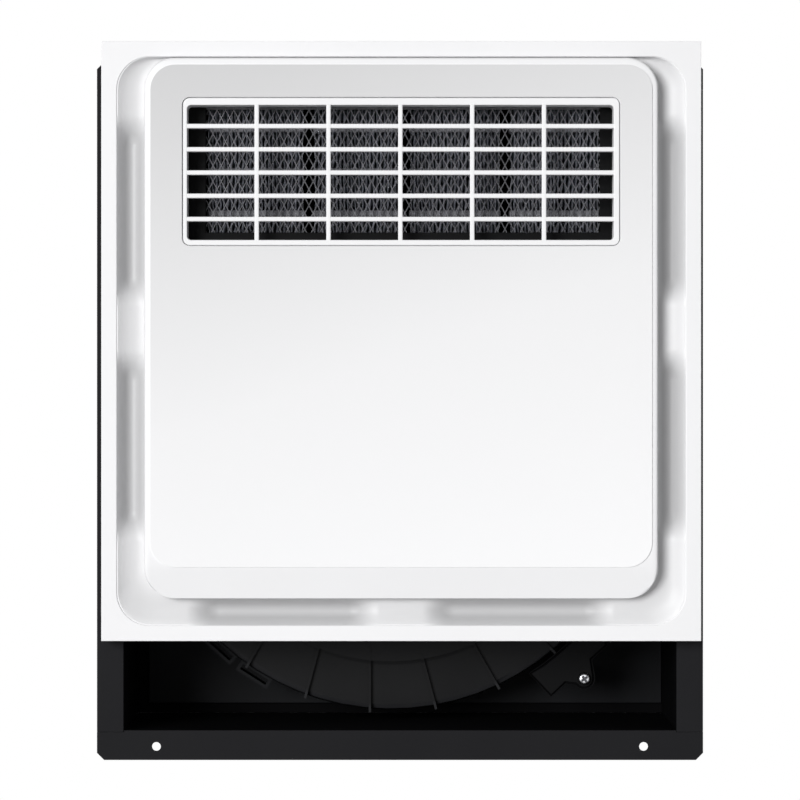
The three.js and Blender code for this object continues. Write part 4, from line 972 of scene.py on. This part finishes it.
def sink_cross(bm, head, height):
    for normal in (Vector((1, 0, 0)), Vector((0, 1, 0))):
        for at in (-cross_half_length, -cross_half_width, cross_half_width, cross_half_length):
            flat = top_faces(bm, height)
            geometry = (flat + list({e for f in flat for e in f.edges})
                        + list({v for f in flat for v in f.verts}))
            bmesh.ops.bisect_plane(bm, geom=geometry, plane_co=normal * at * head, plane_no=normal)
    cross = [f for f in top_faces(bm, height) if in_cross(f, head)]
    sunk = bmesh.ops.extrude_face_region(bm, geom=cross)["geom"]
    bmesh.ops.delete(bm, geom=cross, context="FACES")
    bottom = [g for g in sunk if isinstance(g, bmesh.types.BMVert)]
    bmesh.ops.translate(bm, verts=bottom, vec=(0, 0, -height * cross_depth))
    for face in {f for v in bottom for f in v.link_faces}:
        face.material_index = 1


print("screw sizes", ", ".join(screw_sizes))

# %% Screws: each in its place


def screw(node, size, toward, body):
    head, height, shank, length = (screw_sizes[size][k] for k in ("head", "height", "shank", "length"))
    bm = bmesh.new()
    spin_screw(bm, head, height, shank, length)
    sink_cross(bm, head, height)
    low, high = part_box(node)
    direction = Vector(toward)
    seat = (low + high) / 2
    outer = max(low.dot(direction), high.dot(direction))
    seat += direction * (outer - height - seat.dot(direction))
    turn = direction.to_track_quat("Z", "Y").to_matrix() @ Matrix.Rotation(cross_turn, 3, "Z")
    bmesh.ops.rotate(bm, verts=bm.verts, matrix=turn)
    bmesh.ops.translate(bm, verts=bm.verts, vec=seat)
    piece = add_piece(f"{node}_cross_head", bm, "screw_zinc", body, node)
    piece.data.materials.append(finishes["recess_shade"])


for row in ("bottom", "top"):
    screw(f"end_plate_screw_{row}_left", "small", (-1, 0, 0), "housing")
    screw(f"end_plate_screw_{row}_right", "small", (1, 0, 0), "housing")
for row in ("lower", "upper"):
    for side in ("left", "right"):
        screw(f"clip_screw_{row}_{side}", "small", (0, 1, 0), "panel")
for side in ("left", "right"):
    screw(f"duct_screw_{side}", "small", (0, -1, 0), "housing")
for number in (1, 2, 3):
    screw(f"motor_screw_{number}", "large", (0, -1, 0), "housing")
screw("terminal_lid_screw", "small", (0, -1, 0), "housing")
screw("wiring_cover_screw", "large", (0, -1, 0), "housing")

# %% [markdown]
# ## The cable gland
# A moulded body with a round seat against the wall and a ribbed cap that squeezes the
# cable. The round parts are spun, and the ribs are small blocks set round the cap.

# %% Cable gland
gland_low, gland_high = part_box("cable_gland")
wall_outer = 140.6 * mm
gland_y = (gland_low.y + gland_high.y) / 2
gland_z = (gland_low.z + gland_high.z) / 2
gland_bore = 4.5 * mm
gland_thread = 7.5 * mm
gland_seat = 10 * mm
seat_length = 3 * mm
seat_edge = 0.5 * mm
cap_radius = 8.8 * mm
cap_shoulder = 8.3 * mm
cap_nose = 6.9 * mm
cap_tip = 6.2 * mm
cap_end = gland_high.x
rib_count = 18
rib_half = 0.55 * mm
rib_height = 0.5 * mm
gland_steps = 48

bm = bmesh.new()
# Each point of the profile is a radius and a place along X
profile = [
    (gland_bore, gland_low.x), (gland_thread - 0.3 * mm, gland_low.x),
    (gland_thread, gland_low.x + seat_edge),
    (gland_thread, wall_outer), (gland_seat, wall_outer),
    (gland_seat, wall_outer + seat_length - seat_edge),
    (gland_seat - seat_edge, wall_outer + seat_length), (cap_radius, wall_outer + seat_length),
    (cap_radius, cap_end - 3.4 * mm), (cap_shoulder, cap_end - 1.6 * mm),
    (cap_nose, cap_end - 0.3 * mm), (cap_tip, cap_end), (gland_bore + 0.6 * mm, cap_end),
    (gland_bore, cap_end - 0.8 * mm),
]
points = [bm.verts.new((x, gland_y + r, gland_z)) for r, x in profile]
line = [bm.edges.new(pair) for pair in zip(points, points[1:] + points[:1])]
bmesh.ops.spin(bm, geom=points + line, cent=(0, gland_y, gland_z), axis=(1, 0, 0),
               angle=math.tau, steps=gland_steps, use_merge=True)
for i in range(rib_count):
    made = block(bm, wall_outer + seat_length + 0.4 * mm, cap_end - 3.0 * mm, cap_shoulder,
                 cap_radius + rib_height, -rib_half, rib_half)
    bmesh.ops.rotate(bm, verts=made, matrix=Matrix.Rotation(math.tau * i / rib_count, 3, "X"))
    bmesh.ops.translate(bm, verts=made, vec=(0, gland_y, gland_z))
add_piece("cable_gland_ribbed", bm, "plastic_black", "housing", "cable_gland")

# %% [markdown]
# ## The rings of the scroll
# The scroll's cover steps down along a circle, and its outer edge is rounded. Both are in
# the mesh. The finish adds to them by the distance from the scroll's axis: a bump gives the
# step a soft foot, and a painted highlight makes the colour lighter
# towards the edge.

# %% Rings of the scroll
scroll_centre = Vector((-4.6, 49, -25.0)) * mm
scroll_reach = 130.9 * mm
step_radius = 105.6 * mm
step_half_width = 1.3 * mm
step_drop = 0.32 * mm
# A painted highlight: the colour grows lighter from here to the scroll's edge
highlight_start = 126.2 * mm
highlight_end = 128.6 * mm
highlight_tone = 2.6


def add_rings(material):
    tree = material.node_tree
    link = tree.links.new
    surface = tree.nodes["Principled BSDF"]
    coordinates = tree.nodes.new("ShaderNodeTexCoord")
    flat = tree.nodes.new("ShaderNodeVectorMath")
    flat.operation = "MULTIPLY_ADD"
    flat.inputs[1].default_value = (1, 0, 1)
    flat.inputs[2].default_value = (-scroll_centre.x, 0, -scroll_centre.z)
    link(coordinates.outputs["Object"], flat.inputs[0])
    reach = tree.nodes.new("ShaderNodeVectorMath")
    reach.operation = "LENGTH"
    link(flat.outputs["Vector"], reach.inputs[0])

    def ring(start, end, low, high):
        node = tree.nodes.new("ShaderNodeMapRange")
        node.interpolation_type = "SMOOTHSTEP"
        set_inputs(node, {"From Min": start, "From Max": end, "To Min": low, "To Max": high})
        link(reach.outputs["Value"], node.inputs["Value"])
        return node.outputs[0]

    step = tree.nodes.new("ShaderNodeBump")
    set_inputs(step, {"Strength": 1, "Distance": step_drop})
    old_normal = surface.inputs["Normal"].links[0].from_socket
    link(old_normal, step.inputs["Normal"])
    height = ring(step_radius - step_half_width, step_radius + step_half_width, 1, 0)
    link(height, step.inputs["Height"])
    link(step.outputs[0], surface.inputs["Normal"])

    # Painted highlight: the colour is scaled up towards the edge
    painted_highlight = tree.nodes.new("ShaderNodeVectorMath")
    painted_highlight.operation = "SCALE"
    link(tree.nodes["colours"].outputs["Color"], painted_highlight.inputs[0])
    link(ring(highlight_start, highlight_end, 1, highlight_tone), painted_highlight.inputs["Scale"])
    link(painted_highlight.outputs["Vector"], surface.inputs["Base Color"])


add_rings(finishes["scroll_black"])
print("scroll rings at", round(step_radius / mm, 1), round(scroll_reach / mm, 1))

# %% [markdown]
# ## Pieces whose shape is right already
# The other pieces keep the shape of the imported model. A merged copy of each gets small
# rounded edges and smooth round faces, because a real edge is never perfectly sharp and
# only a rounded one catches a line of light.

# %% Remaining pieces: finish and edge width in mm
dressed = [
    ("housing_body", "black_steel", 0.35), ("end_plate_bottom", "black_steel", 0.45),
    ("end_plate_top", "black_steel", 0.45), ("scroll_base", "deck_black", 0.4),
    ("scroll_cover", "scroll_black", 0.3), ("wiring_cover", "plastic_black", 0.12),
    ("motor_body", "motor_steel", 0.4), ("outlet_duct", "galvanised", 0.25),
    ("heater_frame", "plastic_black", 0.4), ("thermal_cutout", "pale_plastic", 0.3),
    ("terminal_box", "plastic_black", 0.5), ("terminal_block", "pale_plastic", 0.3),
    ("terminal_lid", "plastic_black", 0.5), ("gland_nut", "plastic_black", 0.25),
    ("motor_capacitor", "pale_plastic", 0.8), ("capacitor_clamp", "galvanised", 0.25),
    ("impeller", "plastic_black", 0.15), ("motor_shaft", "shaft_steel", 0.3),
    ("impeller_nut", "shaft_steel", 0.3),
]
dressed += [(f"motor_pad_{number}", "pad_rubber", 0.2) for number in (1, 2, 3)]
dressed += [(f"panel_clip_{row}_{side}", "spring_steel", 0.1)
            for row in ("lower", "upper") for side in ("left", "right")]
print("pieces to dress", len(dressed))

# %% [markdown]
# Four copies change a little on the way. The folded sheet closes its seams to the end
# plates, the heater's window moves up 1.7 mm, the scroll's ribs stand out 0.8 mm more, and
# the wiring cover gets a narrow trench behind its lip.

# %% Remaining pieces: small changes of shape
merge_gap = 0.002 * mm
flat_turn = math.radians(0.5)
seam_start = 160.5 * mm
seam_gap = 0.26 * mm
window_margin_x = 4 * mm
window_margin_z = 2 * mm
window_shift = 1.7 * mm
rib_front = 47.6 * mm
rib_raise = 0.8 * mm
lip_width = 0.4 * mm
trench_width = 1.1 * mm
trench_depth = 1.4 * mm


def close_seams(bm):
    for v in bm.verts:
        if abs(v.co.z) > seam_start:
            v.co.z += math.copysign(seam_gap, v.co.z)


def lift_window(bm):
    low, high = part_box("heater_frame")
    for v in bm.verts:
        inside_x = low.x + window_margin_x < v.co.x < high.x - window_margin_x
        inside_z = low.z + window_margin_z < v.co.z < high.z - window_margin_z
        if inside_x and inside_z:
            v.co.z += window_shift


def raise_ribs(bm):
    for v in bm.verts:
        if v.co.y < rib_front:
            v.co.y -= rib_raise


def merge_flats(bm):
    bmesh.ops.remove_doubles(bm, verts=bm.verts, dist=merge_gap)
    bmesh.ops.dissolve_limit(bm, angle_limit=flat_turn, verts=bm.verts[:], edges=bm.edges[:])


def cut_trench(bm):
    merge_flats(bm)
    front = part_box("wiring_cover")[0].y
    faces = [f for f in bm.faces if abs(f.calc_center_median().y - front) < plane_gap]
    bmesh.ops.inset_region(bm, faces=faces, thickness=lip_width, depth=0)
    trench = bmesh.ops.inset_region(bm, faces=faces, thickness=trench_width, depth=0)["faces"]
    made = bmesh.ops.extrude_face_region(bm, geom=trench)["geom"]
    moved = [v for v in made if isinstance(v, bmesh.types.BMVert)]
    bmesh.ops.translate(bm, verts=moved, vec=(0, trench_depth, 0))
    bmesh.ops.delete(bm, geom=trench, context="FACES")


reshape = {"housing_body": close_seams, "heater_frame": lift_window, "scroll_cover": raise_ribs,
           "wiring_cover": cut_trench}
print("reshaped", ", ".join(reshape))

# %% [markdown]
# The inside of the housing and the trench of the wiring cover get painted shade, a darker, duller finish.
# The edge of the scroll's cover gets the finish of the base plate behind it. One mesh can
# hold two finishes, so the faces are sorted by where they lie and the piece stays whole.

# %% Remaining pieces: second finishes
inner_half_width = 140.4 * mm
inner_half_height = 161.3 * mm
inner_front = 0.4 * mm
inner_back = 102 * mm
trench_start = 47.3 * mm


def inside_housing(face):
    point = face.center
    return (abs(point.x) < inner_half_width and abs(point.z) < inner_half_height
            and inner_front < point.y < inner_back)


def beyond_scroll(face):
    point = face.center
    return math.hypot(point.x - scroll_centre.x, point.z - scroll_centre.z) > scroll_reach


def behind_front(face):
    return face.center.y > trench_start


# The inside of the housing and the wiring cover's trench get painted shade
second_finish = {
    "housing_body": ("painted_shade_black", inside_housing),
    "end_plate_bottom": ("painted_shade_black", inside_housing),
    "end_plate_top": ("painted_shade_black", inside_housing),
    "scroll_cover": ("deck_black", beyond_scroll),
    "wiring_cover": ("painted_shade_black", behind_front),
}
print("pieces with two finishes", len(second_finish))

# %% Remaining pieces: dress them
sharp_turn = math.radians(38)
body_of_node = {node: body for body, names in frame["record"]["behaviour"]["bodies"].items()
                for node in names}


def dress(node, finish, edge):
    bm = bmesh.new()
    bm.from_mesh(frame["nodes"][node].data)
    if node in reshape:
        reshape[node](bm)
    merge_flats(bm)
    sharp = [e for e in bm.edges if len(e.link_faces) == 2 and e.calc_face_angle() > sharp_turn]
    soften(bm, sharp, edge * mm)
    piece = add_piece(f"{node}_finished", bm, finish, body_of_node[node], node)
    if node in second_finish:
        other, chosen = second_finish[node]
        piece.data.materials.append(finishes[other])
        for face in piece.data.polygons:
            face.material_index = int(chosen(face))


for node, finish, edge in dressed:
    dress(node, finish, edge)

# %% [markdown]
# ## Size
# The box of the imported model is printed.

# %% Sizes and finish
print("cad", [round(v, 4) for corner in cad_box for v in corner])
